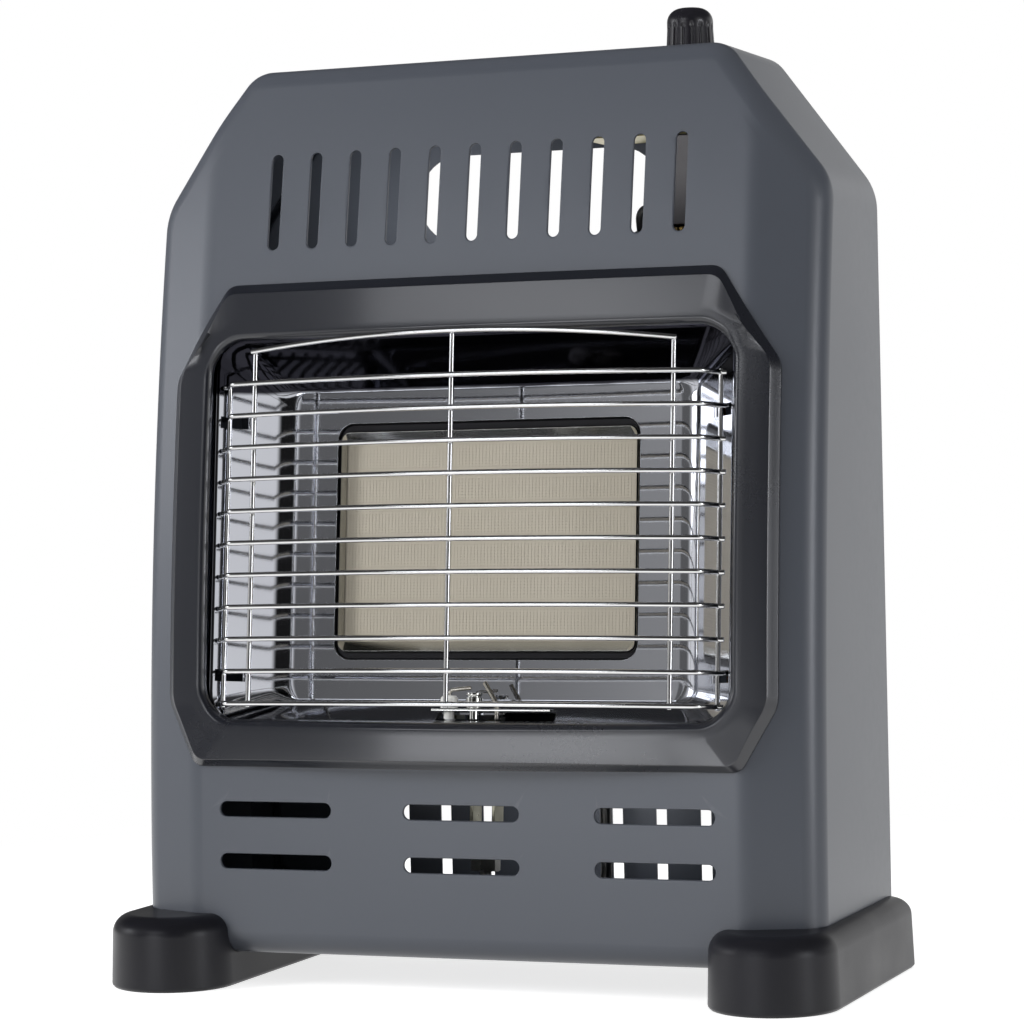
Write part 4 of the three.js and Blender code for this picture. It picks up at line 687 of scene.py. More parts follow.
def drawn_group(name: str) -> NodeGroup:
    """Long fine drawing lines and soft clouding of bright sheet and wire.

    Args:
        name: Name of the group.

    Returns:
        The group.
    """
    g = texture_group(name)
    o, place = g.entry.outputs, g.place()
    long = g.node("ShaderNodeMapping", Vector=place, Scale=(1.0, 40.0, 40.0)).outputs[0]
    lines = g.noise(3.0, Vector=long, Scale=o["Fine scale"])
    clouds = g.spread(g.noise(4.0, Vector=place, Scale=o["Patch scale"], Distortion=0.4), 0.35, 0.68)
    return finish_texture(g, clouds, lines, 0.5)


def edge_group(name: str) -> NodeGroup:
    """Finds worn or polished edges from the bend of the surface.

    Args:
        name: Name of the group.

    Returns:
        The group.
    """
    g = NodeGroup(
        name,
        {"Colour": GREY, "Edge colour": (0.7, 0.7, 0.7, 1.0), "Amount": 0.3, "Scale": 220.0},
        {"Color": Socket.COLOUR, "Mask": Socket.NUMBER},
    )
    o = g.entry.outputs
    sharp = g.spread(g.node("ShaderNodeNewGeometry").outputs["Pointiness"], 0.53, 0.62)
    broken = g.spread(g.noise(2.0, Vector=g.place(), Scale=o["Scale"]), 0.3, 0.6)
    mask = g.sum("MULTIPLY", sharp, broken)
    share = g.sum("MULTIPLY", mask, o["Amount"])
    g.give(Color=g.mixed(share, o["Colour"], o["Edge colour"]), Mask=mask)
    return g


def painted_shade_group(name: str) -> NodeGroup:
    """Painted shade: darkens what lies above a height, standing in for the dark reflections of the tray's top
    wall.

    Args:
        name: Name of the group.

    Returns:
        The group.
    """
    g = NodeGroup(
        name,
        {"Colour": GREY, "Stain": (0.02, 0.02, 0.025, 1.0), "Height": 0.25, "Soft": 0.002},
        {"Color": Socket.COLOUR, "Mask": Socket.NUMBER},
    )
    o, place = g.entry.outputs, g.place()
    wave = g.noise(2.0, Vector=place, Scale=60.0)
    low = g.sum("MULTIPLY_ADD", wave, 0.0015, o["Height"])
    high = g.sum("ADD", low, o["Soft"])
    height = g.node("ShaderNodeSeparateXYZ", i0=place).outputs["Z"]
    mask = g.node("ShaderNodeMapRange", {"interpolation_type": "SMOOTHSTEP"}, Value=height, From_Min=low,
                  From_Max=high).outputs[0]
    g.give(Color=g.mixed(mask, o["Colour"], o["Stain"]), Mask=mask)
    return g


class Texture(Enum):
    """The two families of surface detail."""

    GRAIN = "surface_grain"
    DRAWN = "drawn_metal"


@dataclass(frozen=True)
class Finish:
    """How a surface is finished: colours as seen on screen, gloss, and the scale of its detail."""

    slot: str
    colour: str
    second: str
    texture: Texture = Texture.GRAIN
    amount: float = 0.3
    patch: float = 14.0
    fine: float = 900.0
    smooth: float = 0.3
    rough: float = 0.4
    metal: float = 0.0
    bump: float = 0.05
    depth: float = 0.05
    coat: float = 0.0
    coat_rough: float = 0.03
    specular: float = 0.5
    edge: str = ""
    edge_amount: float = 0.3
    # Painted shade: a dark colour laid over everything above a height in millimetres, with a soft edge.
    stain: str = ""
    shade_above: float = 0.0
    shade_soft: float = 2.0
    label: str = ""

    def material(self) -> bpy.types.Material:
        """Gives the finish's material, and makes it the first time.

        Returns:
            The material.
        """
        name = (self.label or self.slot) + "_finish"
        made = bpy.data.materials.get(name)
        if made:
            return made
        made = bpy.data.materials.new(name)
        made.use_nodes = True
        tree = made.node_tree
        shader = tree.nodes["Principled BSDF"]
        shader.inputs["Metallic"].default_value = self.metal
        shader.inputs["Coat Weight"].default_value = self.coat
        shader.inputs["Coat Roughness"].default_value = self.coat_rough
        shader.inputs["Specular IOR Level"].default_value = self.specular
        build = grain_group if self.texture is Texture.GRAIN else drawn_group
        detail = add_group(
            tree, self.texture.value, build, Colour=linear(self.colour), Patches=linear(self.second),
            Patch_amount=self.amount, Patch_scale=self.patch, Fine_scale=self.fine, Smooth=self.smooth,
            Rough=self.rough,
        )
        colour = detail.outputs["Color"]
        if self.edge:
            wear = add_group(
                tree, "edge_wear", edge_group, Colour=colour, Edge_colour=linear(self.edge),
                Amount=self.edge_amount,
            )
            colour = wear.outputs["Color"]
        # Painted shade: a dark colour above a height, standing in for dark reflections.
        if self.stain:
            shaded_top = add_group(
                tree, "painted_dark_top", painted_shade_group, Colour=colour, Stain=linear(self.stain),
                Height=self.shade_above * MM, Soft=self.shade_soft * MM,
            )
            colour = shaded_top.outputs["Color"]
        tree.links.new(colour, shader.inputs["Base Color"])
        tree.links.new(detail.outputs["Roughness"], shader.inputs["Roughness"])
        height, distance = detail.outputs["Height"], self.depth * MM
        bump = add_node(tree, "ShaderNodeBump", Strength=self.bump, Distance=distance, Height=height)
        tree.links.new(bump.outputs["Normal"], shader.inputs["Normal"])
        return made


COVER_PAINT = Finish(
    "cover_paint", "4c5058", "484c55", amount=0.5, patch=5, fine=1400, smooth=0.30, rough=0.36, bump=0.06,
    depth=0.05, edge="6a6e76", edge_amount=0.25,
)
PANEL_PAINT = Finish(
    "panel_paint", "484c54", "444850", amount=0.5, patch=6, fine=1400, smooth=0.36, rough=0.44, bump=0.08,
    depth=0.05,
)
BEZEL_GLOSS = Finish(
    "bezel_gloss", "191b22", "1d1f27", amount=0.4, patch=7, fine=500, smooth=0.24, rough=0.32, bump=0.02,
    depth=0.05, coat=0.5, coat_rough=0.13,
)
FOOT_PLASTIC = Finish(
    "foot_plastic", "17171c", "1d1d23", amount=0.4, patch=20, fine=1700, smooth=0.30, rough=0.42,
    bump=0.16, depth=0.06, specular=0.28,
)
KNOB_PLASTIC = Finish(
    "knob_plastic", "1b1a20", "222128", amount=0.4, patch=30, fine=1700, smooth=0.24, rough=0.36,
    bump=0.12, depth=0.05,
)
# Dark above 245.2 mm: painted shade for the dark reflections in the tray's top wall.
POLISHED_STEEL = Finish(
    "polished_steel", "c4c6cc", "b0b2ba", Texture.DRAWN, amount=0.5, patch=9, fine=26, smooth=0.03,
    rough=0.08, metal=1.0, bump=0.03, depth=0.03, stain="26262c", shade_above=245.2,
)
BRIGHT_STEEL = Finish(
    "bright_steel", "d0d0cc", "b8b8b4", Texture.DRAWN, amount=0.4, patch=25, fine=40, smooth=0.08,
    rough=0.16, metal=1.0, bump=0.04, depth=0.03,
)
# Near black for the sunk channel round the plaque's frame: painted shadow of the gap there.
PAINTED_SHADOW_STEEL = Finish(
    "bright_steel", "16161a", "1f1d1f", amount=0.5, patch=60, fine=900, smooth=0.4, rough=0.55, metal=0.6,
    bump=0.1, depth=0.03, label="painted_shadow_steel",
)
GUARD_CHROME = Finish(
    "guard_chrome", "d8d8d8", "c0c0c2", Texture.DRAWN, amount=0.3, patch=30, fine=50, smooth=0.07,
    rough=0.14, metal=1.0, bump=0.03, depth=0.02,
)
PLAQUE = Finish(
    "plaque_ceramic", "c2bbad", "b8b1a2", amount=0.5, patch=26, fine=1500, smooth=0.86, rough=0.97,
    bump=0.3, depth=0.08, specular=0.3,
)
GASKET = Finish(
    "gasket_fibre", "cfc9bd", "b8b2a6", amount=0.5, patch=90, fine=2200, smooth=0.9, rough=1.0, bump=0.5,
    depth=0.2, specular=0.2,
)
CASTING = Finish(
    "burner_casting", "8e8f90", "77787a", amount=0.5, patch=30, fine=700, smooth=0.5, rough=0.66,
    metal=0.8, bump=0.4, depth=0.12,
)
TUBE_STEEL = Finish(
    "tube_steel", "9c9c9a", "807f7c", Texture.DRAWN, amount=0.5, patch=18, fine=60, smooth=0.26,
    rough=0.4, metal=1.0, bump=0.06, depth=0.03,
)
SCREW_STEEL = Finish(
    "screw_steel", "bdbdb8", "9c9c98", amount=0.4, patch=160, fine=1500, smooth=0.24, rough=0.36,
    metal=1.0, bump=0.08, depth=0.03,
)
ZINC_PLATE = Finish(
    "zinc_plate", "c6c3ae", "a9a694", amount=0.6, patch=120, fine=700, smooth=0.25, rough=0.4, metal=1.0,
    bump=0.08, depth=0.03,
)
YELLOW_ZINC = Finish(
    "yellow_zinc", "b4a878", "8f8c6c", amount=0.7, patch=60, fine=700, smooth=0.25, rough=0.4, metal=1.0,
    bump=0.08, depth=0.03,
)
BRASS = Finish(
    "valve_brass", "c8a868", "a98a50", amount=0.4, patch=70, fine=900, smooth=0.2, rough=0.32, metal=1.0,
    bump=0.06, depth=0.03,
)
CERAMIC = Finish(
    "white_ceramic", "efefec", "e2e0da", amount=0.4, patch=60, fine=900, smooth=0.18, rough=0.28,
    bump=0.05, depth=0.03,
)
PROBE_STEEL = Finish(
    "probe_steel", "b8b5ad", "8c8479", Texture.DRAWN, amount=0.6, patch=80, fine=90, smooth=0.16,
    rough=0.3, metal=1.0, bump=0.05, depth=0.02,
)
DARK_CASTING = Finish(
    "valve_casting", "3b3a3c", "2c2b2d", amount=0.5, patch=40, fine=900, smooth=0.42, rough=0.58,
    metal=0.3, bump=0.5, depth=0.15,
)
SPRING_STEEL = Finish(
    "spring_steel", "c4c4c4", "a6a6a6", Texture.DRAWN, amount=0.3, patch=90, fine=120, smooth=0.16,
    rough=0.26, metal=1.0, bump=0.04, depth=0.02,
)
PIEZO_PLASTIC = Finish(
    "piezo_plastic", "1d1d1f", "262628", amount=0.4, patch=60, fine=1500, smooth=0.36, rough=0.5,
    bump=0.15, depth=0.05,
)
COPPER = Finish(
    "lead_copper", "a8744a", "7c5236", Texture.DRAWN, amount=0.6, patch=50, fine=80, smooth=0.26,
    rough=0.42, metal=1.0, bump=0.06, depth=0.03,
)
SLEEVE = Finish(
    "lead_sleeve", "e2e0da", "d0cdc6", amount=0.4, patch=60, fine=1500, smooth=0.5, rough=0.62, bump=0.2,
    depth=0.05,
)


# ----------------------------------------------------------- cabinet shape


def round_off(d: np.ndarray, r: float) -> np.ndarray:
    """Set-back of a rounded edge of radius r at a distance d from it."""
    short = r - np.clip(d, 0, r)
    return r - np.sqrt(np.maximum(r * r - short * short, 0))


@dataclass(frozen=True)
class CabinetShape:
    """The steel cabinet's outside: a leaning front, splayed bevels and chamfered shoulders."""

    half_width: float = 149.0
    base: float = 13.5
    height: float = 371.1
    front: float = -47.1
    depth: float = 112.6
    bow: float = 1613.0
    bow_start: float = 1.5
    bevel_width: float = 29.0
    bevel_depth: float = 10.8
    blend: float = 4.0
    shoulder_width: float = 43.6
    shoulder_height: float = 58.6
    low_radius: float = 25.0
    top_radius: float = 14.0
    edge: float = 8.0
    hem: float = 10.0
    column: float = 14.0
    least_spread: float = 0.6

    @property
    def top(self) -> float:
        """Height of the flat top."""
        return self.base + self.height

    @property
    def rear(self) -> float:
        """Depth of the cover's rear edge."""
        return self.front + self.depth

    @property
    def shoulder(self) -> float:
        """Angle by which the shoulder's outward normal rises."""
        return math.atan2(self.shoulder_width, self.shoulder_height)

    @property
    def arcs(self) -> tuple[tuple[float, float, float], tuple[float, float, float]]:
        """The outline's low and top arcs.

        Returns:
            Centre x, centre z and radius of each.
        """
        low_run = self.low_radius * math.tan(self.shoulder / 2)
        low_z = self.top - self.shoulder_height - low_run
        top_run = self.top_radius * math.tan((math.pi / 2 - self.shoulder) / 2)
        top_x = self.half_width - self.shoulder_width - top_run
        low = (self.half_width - self.low_radius, low_z, self.low_radius)
        return low, (top_x, self.top - self.top_radius, self.top_radius)

    def front_y(self, z: np.ndarray | float) -> np.ndarray | float:
        """Depth of the front face at a height z."""
        rise = z - self.base - self.bow_start
        return self.front + rise * rise / (2 * self.bow)

    def bevel_y(self, x: np.ndarray | float) -> np.ndarray:
        """How far the bevels fall back.

        Args:
            x: Distance from the middle.

        Returns:
            Depth behind the front face.
        """
        slope = self.bevel_depth / self.bevel_width
        past = np.abs(x) - (self.half_width - self.bevel_width) + self.blend
        soft = slope * past * past / (4 * self.blend)
        straight = slope * (past - self.blend)
        return np.where(past <= 0, 0.0, np.where(past < 2 * self.blend, soft, straight))

    def edge_distance(self, x: np.ndarray, z: float, inset: float) -> np.ndarray:
        """Distance from points of the front view to the outline.

        Args:
            x: The points' x.
            z: Their height.
            inset: How far the outline is drawn in.

        Returns:
            The distances, inwards.
        """
        px = np.abs(np.asarray(x, float))
        (lx, lz, lr), (tx, tz, tr) = self.arcs
        a = self.shoulder
        along = (px - lx) * math.cos(a) + (z - lz) * math.sin(a)
        out = np.minimum(np.minimum(self.half_width - inset - px, self.top - inset - z), lr - inset - along)
        for cx, cz, r, low, high in ((lx, lz, lr, 0.0, a), (tx, tz, tr, a, math.pi / 2)):
            angle = np.arctan2(z - cz, px - cx)
            reach = np.hypot(z - cz, px - cx)
            inside = (reach > 1e-6) & (angle >= low) & (angle <= high)
            out = np.where(inside, r - inset - reach, out)
        return out

    def surface_y(self, x: np.ndarray, z: float, inset: float) -> np.ndarray:
        """Depth of the cover's front surface, or of one that lies inside it.

        Args:
            x: The points' x.
            z: Their height.
            inset: How far inside it lies.

        Returns:
            The depths.
        """
        side = round_off(self.edge_distance(x, z, inset), self.edge - inset)
        low = round_off(np.array(z - self.base - inset), self.hem - inset)
        return self.front_y(z) + self.bevel_y(x) + inset + np.hypot(side, low)

    def rows(self, inset: float, fine: int) -> list[tuple[float, float, float]]:
        """Levels of the outline from the hem to the flat top.

        Args:
            inset: How far the outline is drawn in.
            fine: Steps in its shortest stretches.

        Returns:
            Height, half width and tilt of the side at each level.
        """
        low = self.base + inset
        hem = self.hem - inset
        (lx, lz, lr), (tx, tz, tr) = self.arcs
        lr, tr = lr - inset, tr - inset
        a = self.shoulder
        width = self.half_width - inset
        hem_turn = np.linspace(0, math.pi / 2, 2 * fine + 1)
        low_turn = np.linspace(0, a, 2 * fine + 1)
        top_turn = np.linspace(a, math.pi / 2, 3 * fine + 1)
        out = [(low + hem * (1 - math.cos(t)), width, 0.0) for t in hem_turn]
        out += [(z, width, 0.0) for z in np.linspace(low + hem, lz, 6 * fine + 1)[1:-1]]
        out += [(lz + lr * math.sin(t), lx + lr * math.cos(t), t) for t in low_turn]
        z0, w0, _ = out[-1]
        z1, w1 = tz + tr * math.sin(a), tx + tr * math.cos(a)
        split = (self.top - inset - self.edge - 1 - z0) / (z1 - z0)
        shares = [*np.linspace(0, split, 3 * fine + 1)[1:], *np.linspace(split, 1, 3 * fine + 1)[1:-1]]
        out += [(z0 + (z1 - z0) * t, w0 + (w1 - w0) * t, a) for t in shares]
        out += [(tz + tr * math.sin(t), tx + tr * math.cos(t), t) for t in top_turn]
        return out

    def ring(self, row: tuple[float, float, float], inset: float, rear: float, fine: int) -> np.ndarray:
        """One level of the cabinet.

        Args:
            row: Its height, half width and tilt.
            inset: How far it is drawn in.
            rear: Depth at which it is closed.
            fine: Steps in its shortest stretches.

        Returns:
            Its points, from rear left round the front to rear right.
        """
        z, w, tilt = row
        r = self.edge - inset
        turn = np.linspace(0, math.pi / 2, 3 * fine + 1)
        round_columns = r * (1 - np.cos(turn)) / max(math.cos(tilt), self.least_spread)
        crease = self.half_width - self.bevel_width
        outer = min(crease + self.blend, w - round_columns[-1] - self.blend)
        bevel = np.linspace(outer, outer - 2 * self.blend, 2 * fine + 1)
        half = np.concatenate([w - round_columns, bevel])
        middle = np.linspace(-half[-1], half[-1], int(2 * crease / self.column))[1:-1]
        xs = np.concatenate([-half, middle, half[::-1]])
        front = np.column_stack([xs, self.surface_y(xs, z, inset), np.full(len(xs), z)])
        return np.vstack([[-w, rear, z], front, [w, rear, z]])

    def form(self, inset: float, rear: float, fine: int) -> Form:
        """The cabinet's solid form, drawn in by an inset and closed at a rear depth."""
        return loft([self.ring(row, inset, rear, fine) for row in self.rows(inset, fine)])


SHAPE = CabinetShape()


def cover_y(points: np.ndarray) -> np.ndarray:
    """Depth of the cover's front, leaving out its rounded edges, at points of x and z."""
    return SHAPE.front_y(points[:, 1]) + SHAPE.bevel_y(points[:, 0])


def slot_outline(x: float, z: float, half_x: float, half_z: float) -> Callable[[float], np.ndarray]:
    """Outline of a round-ended slot, or of a round hole.

    Args:
        x: Its middle.
        z: Its middle's height.
        half_x: Half its width.
        half_z: Half its height.

    Returns:
        A function that gives the outline's points, (n, 2), grown by a distance.
    """
    hair, steps = 0.01, 9

    def grown(by: float) -> np.ndarray:
        """The outline, grown by a distance."""
        r = min(half_x, half_z) + by - hair
        return rect_outline(x - half_x - by, x + half_x + by, z - half_z - by, z + half_z + by, r, steps)

    return grown


def slot_tool(
    outline: Callable[[float], np.ndarray],
    surface: Callable[[np.ndarray], np.ndarray],
    sheet: float,
    ease: float = 0.45,
    out: int = -1,
) -> Form:
    """A tool that cuts a hole with an eased edge through a sheet seen from the front or rear.

    Args:
        outline: Gives the hole's outline, (n, 2), grown by a distance.
        surface: Depth of the visible surface at points of x and z.
        sheet: Thickness that it cuts through.
        ease: Radius of the eased edge.
        out: Direction that the surface faces along Y.

    Returns:
        The cutting form.
    """
    start, run, past = math.radians(18), 2.0, 3.0
    over, under = ease * (1 - math.sin(start)), ease * (1 - math.cos(start))
    steps = [(over + run * math.cos(start), under - run * math.sin(start))]
    turns = np.linspace(start, math.pi / 2, 4)
    steps += [(ease * (1 - math.sin(t)), ease * (1 - math.cos(t))) for t in turns]
    steps.append((0.0, sheet + past))
    depth = surface(outline(0.0))
    return loft([in_front_view(outline(grow), depth - out * deep) for grow, deep in steps])


def soft_rings(
    rings: Sequence[np.ndarray], reaches: Sequence[float | np.ndarray], steps: int = 3,
) -> list[np.ndarray]:
    """Rounds the bends between the rings of a closed section.

    Args:
        rings: Rings with equal numbers of points, each the place of a bend.
        reaches: How far each bend's rounding runs along its two sides, or that for each of its points.
        steps: Segments in each rounding.

    Returns:
        The rings with each bend replaced by a short run of rings.
    """
    out: list[np.ndarray] = []
    n = len(rings)
    for k, (ring, reach) in enumerate(zip(rings, reaches)):
        if np.max(reach) <= 0:
            out.append(ring)
            continue
        ends = []
        for other in (rings[k - 1], rings[(k + 1) % n]):
            away = other - ring
            length = np.maximum(np.linalg.norm(away, axis=1)[:, None], 1e-6)
            ends.append(ring + away * np.minimum(reach / length, 0.45))
        out += curve(ends[0], ring, ends[1], steps)
    return out


def softened(corners: Sequence[Point], reach: float, steps: int = 8) -> np.ndarray:
    """Softens each corner of a polygon with a short curve.

    Args:
        corners: The polygon's corners.
        reach: Distance from a corner at which its curve starts and ends.
        steps: Segments in each curve.

    Returns:
        The softened polygon's points.
    """
    c = np.array(corners, float)
    out = []
    for k, corner in enumerate(c):
        ends = []
        for other in (c[k - 1], c[(k + 1) % len(c)]):
            away = other - corner
            ends.append(corner + away / np.linalg.norm(away) * reach)
        out += curve(ends[0], corner, ends[1], steps)
    return np.array(out)


def block(x: Point, y: Point, z: Point) -> Form:
    """A plain block between pairs of x, y and z, used as a cutting tool."""
    outline = np.array([(x[0], y[0]), (x[1], y[0]), (x[1], y[1]), (x[0], y[1])], float)
    return loft([in_plan(outline, z[0]), in_plan(outline, z[1])])


def rod(radius: float, low: float, high: float, axis: Axis = Axis.Z, segments: int = 40) -> Form:
    """A plain round bar, used as a cutting tool."""
    return lathe([(0, low), (radius, low), (radius, high), (0, high)], segments, axis)


def cross_cut(form: Form, half: float, wide: float, deep: Point, axis: Axis = Axis.Z) -> Form:
    """Cuts a screw's cross into its head.

    Args:
        form: The screw.
        half: Half the length of the cross's bars.
        wide: Half their width.
        deep: Where the bars start and end along the screw.
        axis: Direction of the screw.

    Returns:
        The screw with its cross.
    """
    for x, other in (((-half, half), (-wide, wide)), ((-wide, wide), (-half, half))):
        form = carve(form, [block(x, other, deep) if axis is Axis.Z else block(x, deep, other)])
    return form


@dataclass
class Cover:
    """The painted steel cover with its slots and the round hole for the knob."""

    slots: int = 11
    pitch: float = 18.0
    slot_width: float = 5.0
    slot_length: float = 40.4
    slot_z: float = 327.5
    low_pitch: float = 83.0
    low_length: float = 50.6
    low_height: float = 6.2
    low_z: float = 63.3
    low_row: float = 21.6
    flange: float = 12.0
    opening: tuple[float, float, float, float] = (117.2, 109.4, 271.3, 17.0)
    opening_depths: tuple[float, float] = (-80.0, 20.0)
    hole: float = 12.8
    past: float = 5.0
    base_rim: tuple[float, float] = (4.0, 2.2)
    screw_hole: float = 2.0

    def slots_and_vents(self) -> list[tuple[float, float, float, float]]:
        """Middle, half width and half height of the upright and the level slots.

        Returns:
            Middle x, middle z, half width and half height of each.
        """
        tall = (self.slot_width / 2, self.slot_length / 2)
        flat = (self.low_length / 2, self.low_height / 2)
        out = [((i - (self.slots - 1) / 2) * self.pitch, self.slot_z, *tall) for i in range(self.slots)]
        for row in (-0.5, 0.5):
            z = self.low_z + row * self.low_row
            out += [(column * self.low_pitch, z, *flat) for column in (-1, 0, 1)]
        return out

    def tools(self) -> list[Form]:
        """Makes the cutting forms of the slots, the radiant opening and the knob's hole.

        Returns:
            The forms.
        """
        out = [slot_tool(slot_outline(*slot), cover_y, SHEET) for slot in self.slots_and_vents()]
        wide, low, high, r = self.opening
        opening = rect_outline(-wide, wide, low, high, r, 8)
        out.append(loft([in_front_view(opening, y) for y in self.opening_depths]))
        r, top, valve = self.hole, SHAPE.top, Valve()
        out.append(lathe([
            (0, top - 4), (r, top - 4), (r, top - 0.5), (r + 0.15, top - 0.15), (r + 0.5, top),
            (r + 2.5, top + 0.3), (0, top + 0.3),
        ], 72).moved(valve.x, valve.y))
        return out

    def build(self) -> None:
        """Makes the cover."""
        outer = SHAPE.form(0.0, SHAPE.rear, 4)
        cavity = SHAPE.form(SHEET, SHAPE.rear - SHEET, 2)
        past = self.past
        rows = [r for r in SHAPE.rows(self.flange, 3) if r[0] >= SHAPE.arcs[0][1]]
        wide = SHAPE.half_width - self.flange
        half = [(wide, SHAPE.base - past)] + [(w, z) for z, w, _ in rows]
        outline = np.array(half + [(-w, z) for w, z in reversed(half)])
        rear = loft([in_front_view(outline, SHAPE.rear + y) for y in (-SHEET - 1, past)])
        behind, thick = self.base_rim
        base = SHAPE.base
        front = SHAPE.front + SHAPE.hem + behind
        floor = block((-wide, wide), (front, SHAPE.rear + past + 1), (base - past - 1, base + thick))
        shell = carve(carve(outer, [cavity]), [rear])
        shell = carve(carve(shell, [floor]), self.tools())
        bore = rod(self.screw_hole, SHAPE.rear - 3, SHAPE.rear + 3, Axis.Y, 20)
        shell = carve(shell, [bore.moved(x, 0, z) for x, z in RearPanel().screws()])
        piece("front_cover", shell, COVER_PAINT, sharp=28)


@dataclass
class RearPanel:
    """The pressed rear panel with its hand-hold, slots, hose hole and screws."""

    rim: float = 15.0
    draft: float = 3.0
    slope: float = 7.0
    clear: float = 1.3
    sheet: float = 1.0
    front: float = 58.8
    rim_front: float = 65.8
    window: tuple[float, float, float] = (56.0, 330.8, 38.0)
    low: float = 16.2
    slots: int = 8
    pitch: float = 20.0
    slot_width: float = 4.8
    slot_length: float = 70.0
    slot_z: float = 63.0
    hose_hole: float = 11.0
    side_screws: tuple[float, float] = (48.0, 300.0)
    top_screw: float = 60.0
    screw_inset: float = 6.0
    screw_hole: float = 2.0

    def screws(self) -> list[tuple[float, float]]:
        """Places of the screws.

        Returns:
            Their x and z.
        """
        x, top = SHAPE.half_width - self.screw_inset, SHAPE.top - self.screw_inset
        out = [(side * x, z) for z in self.side_screws for side in (-1, 1)]
        return out + [(side * self.top_screw, top) for side in (-1, 1)]

    def field_ring(self, margin: float, y: float) -> np.ndarray:
        """Ring of the pressed field.

        Args:
            margin: Its distance from the outline.
            y: Its depth.

        Returns:
            Its points.
        """
        a = SHAPE.shoulder
        shoulder_z = SHAPE.top - SHAPE.shoulder_height
        x = SHAPE.half_width - margin
        z = shoulder_z - margin * math.tan(a / 2)
        top_x = SHAPE.half_width - SHAPE.shoulder_width - margin * math.tan((math.pi / 2 - a) / 2)
        top, low = SHAPE.top - margin, self.low + margin
        corners = [(x, low), (x, z), (top_x, top), (-top_x, top), (-x, z), (-x, low)]
        return in_front_view(softened(corners, 8.0), y)

    def outline_ring(self, y: float) -> np.ndarray:
        """Ring of the panel's own outline, clear of the cover's.

        Args:
            y: Its depth.

        Returns:
            Its points.
        """
        (lx, lz, lr), (tx, tz, tr) = SHAPE.arcs
        a, inset = SHAPE.shoulder, self.clear
        lr, tr = lr - inset, tr - inset
        x, low = SHAPE.half_width - inset, self.low
        right = [(x - 1 + math.sin(t), low + 1 - math.cos(t)) for t in np.linspace(0, math.pi / 2, 9)]
        for cx, cz, r, start, end in ((lx, lz, lr, 0, a), (tx, tz, tr, a, math.pi / 2)):
            right += [(cx + r * math.cos(t), cz + r * math.sin(t)) for t in np.linspace(start, end, 9)]
        return in_front_view(np.array(right + [(-px, pz) for px, pz in reversed(right)]), y)

    def skin(self) -> Form:
        """The pressed sheet before its holes are cut.

        Returns:
            Its closed form.
        """
        front, rim_front = self.front, self.rim_front
        back, rear = front + self.sheet, rim_front + self.sheet
        rim, foot = self.rim, self.rim + self.slope
        bends = [
            (self.field_ring(foot, back), 0),
            (self.field_ring(rim + 4.0, back), 1.2),
            (self.field_ring(rim + 0.8, rear), 1.6),
            (self.outline_ring(rear), 0.25),
            (self.outline_ring(rim_front), 0.25),
            (self.field_ring(rim, rim_front), 1.0),
            (self.field_ring(rim + self.draft, front), 1.8),
            (self.field_ring(foot, front), 0),
        ]
        return loft(soft_rings([ring for ring, _ in bends], [reach for _, reach in bends], 4))

    def windows(self) -> list[Form]:
        """Makes the cutting forms of the hand-hold, the slots and the hose's hole.

        Returns:
            The forms.
        """
        back = self.front + self.sheet
        wide, mid, high = self.window
        holes = [(0.0, mid, wide, high / 2)]
        for i in range(self.slots):
            x = (i - (self.slots - 1) / 2) * self.pitch
            holes.append((x, self.slot_z, self.slot_width / 2, self.slot_length / 2))
        inlet = Inlet()
        holes.append((inlet.x, inlet.z, self.hose_hole, self.hose_hole))

        def flat(line: np.ndarray) -> np.ndarray:
            """Depth of the flat field."""
            return np.full(len(line), back)

        return [slot_tool(slot_outline(*hole), flat, self.sheet, 0.35, 1) for hole in holes]

    def build(self) -> None:
        """Makes the panel and its screws."""
        bore = rod(self.screw_hole, 60, 70, Axis.Y, 20)
        panel = carve(carve(self.skin(), self.windows()), [bore.moved(x, 0, z) for x, z in self.screws()])
        piece("rear_panel", panel, PANEL_PAINT)
        screw = lathe([
            (0, 61.8), (1.3, 61.8), (1.7, 62.4), (1.7, 67.1), (3.3, 67.1), (3.6, 67.35), (3.5, 68.2),
            (3.0, 68.75), (2.1, 69.02), (0.8, 69.1), (0, 69.1),
        ], 40, Axis.Y)
        screw = cross_cut(screw, 1.9, 0.42, (67.9, 70), Axis.Y)
        for i, (x, z) in enumerate(self.screws()):
            piece(f"rear_screw_{i + 1}", screw.moved(x, 0, z), SCREW_STEEL)


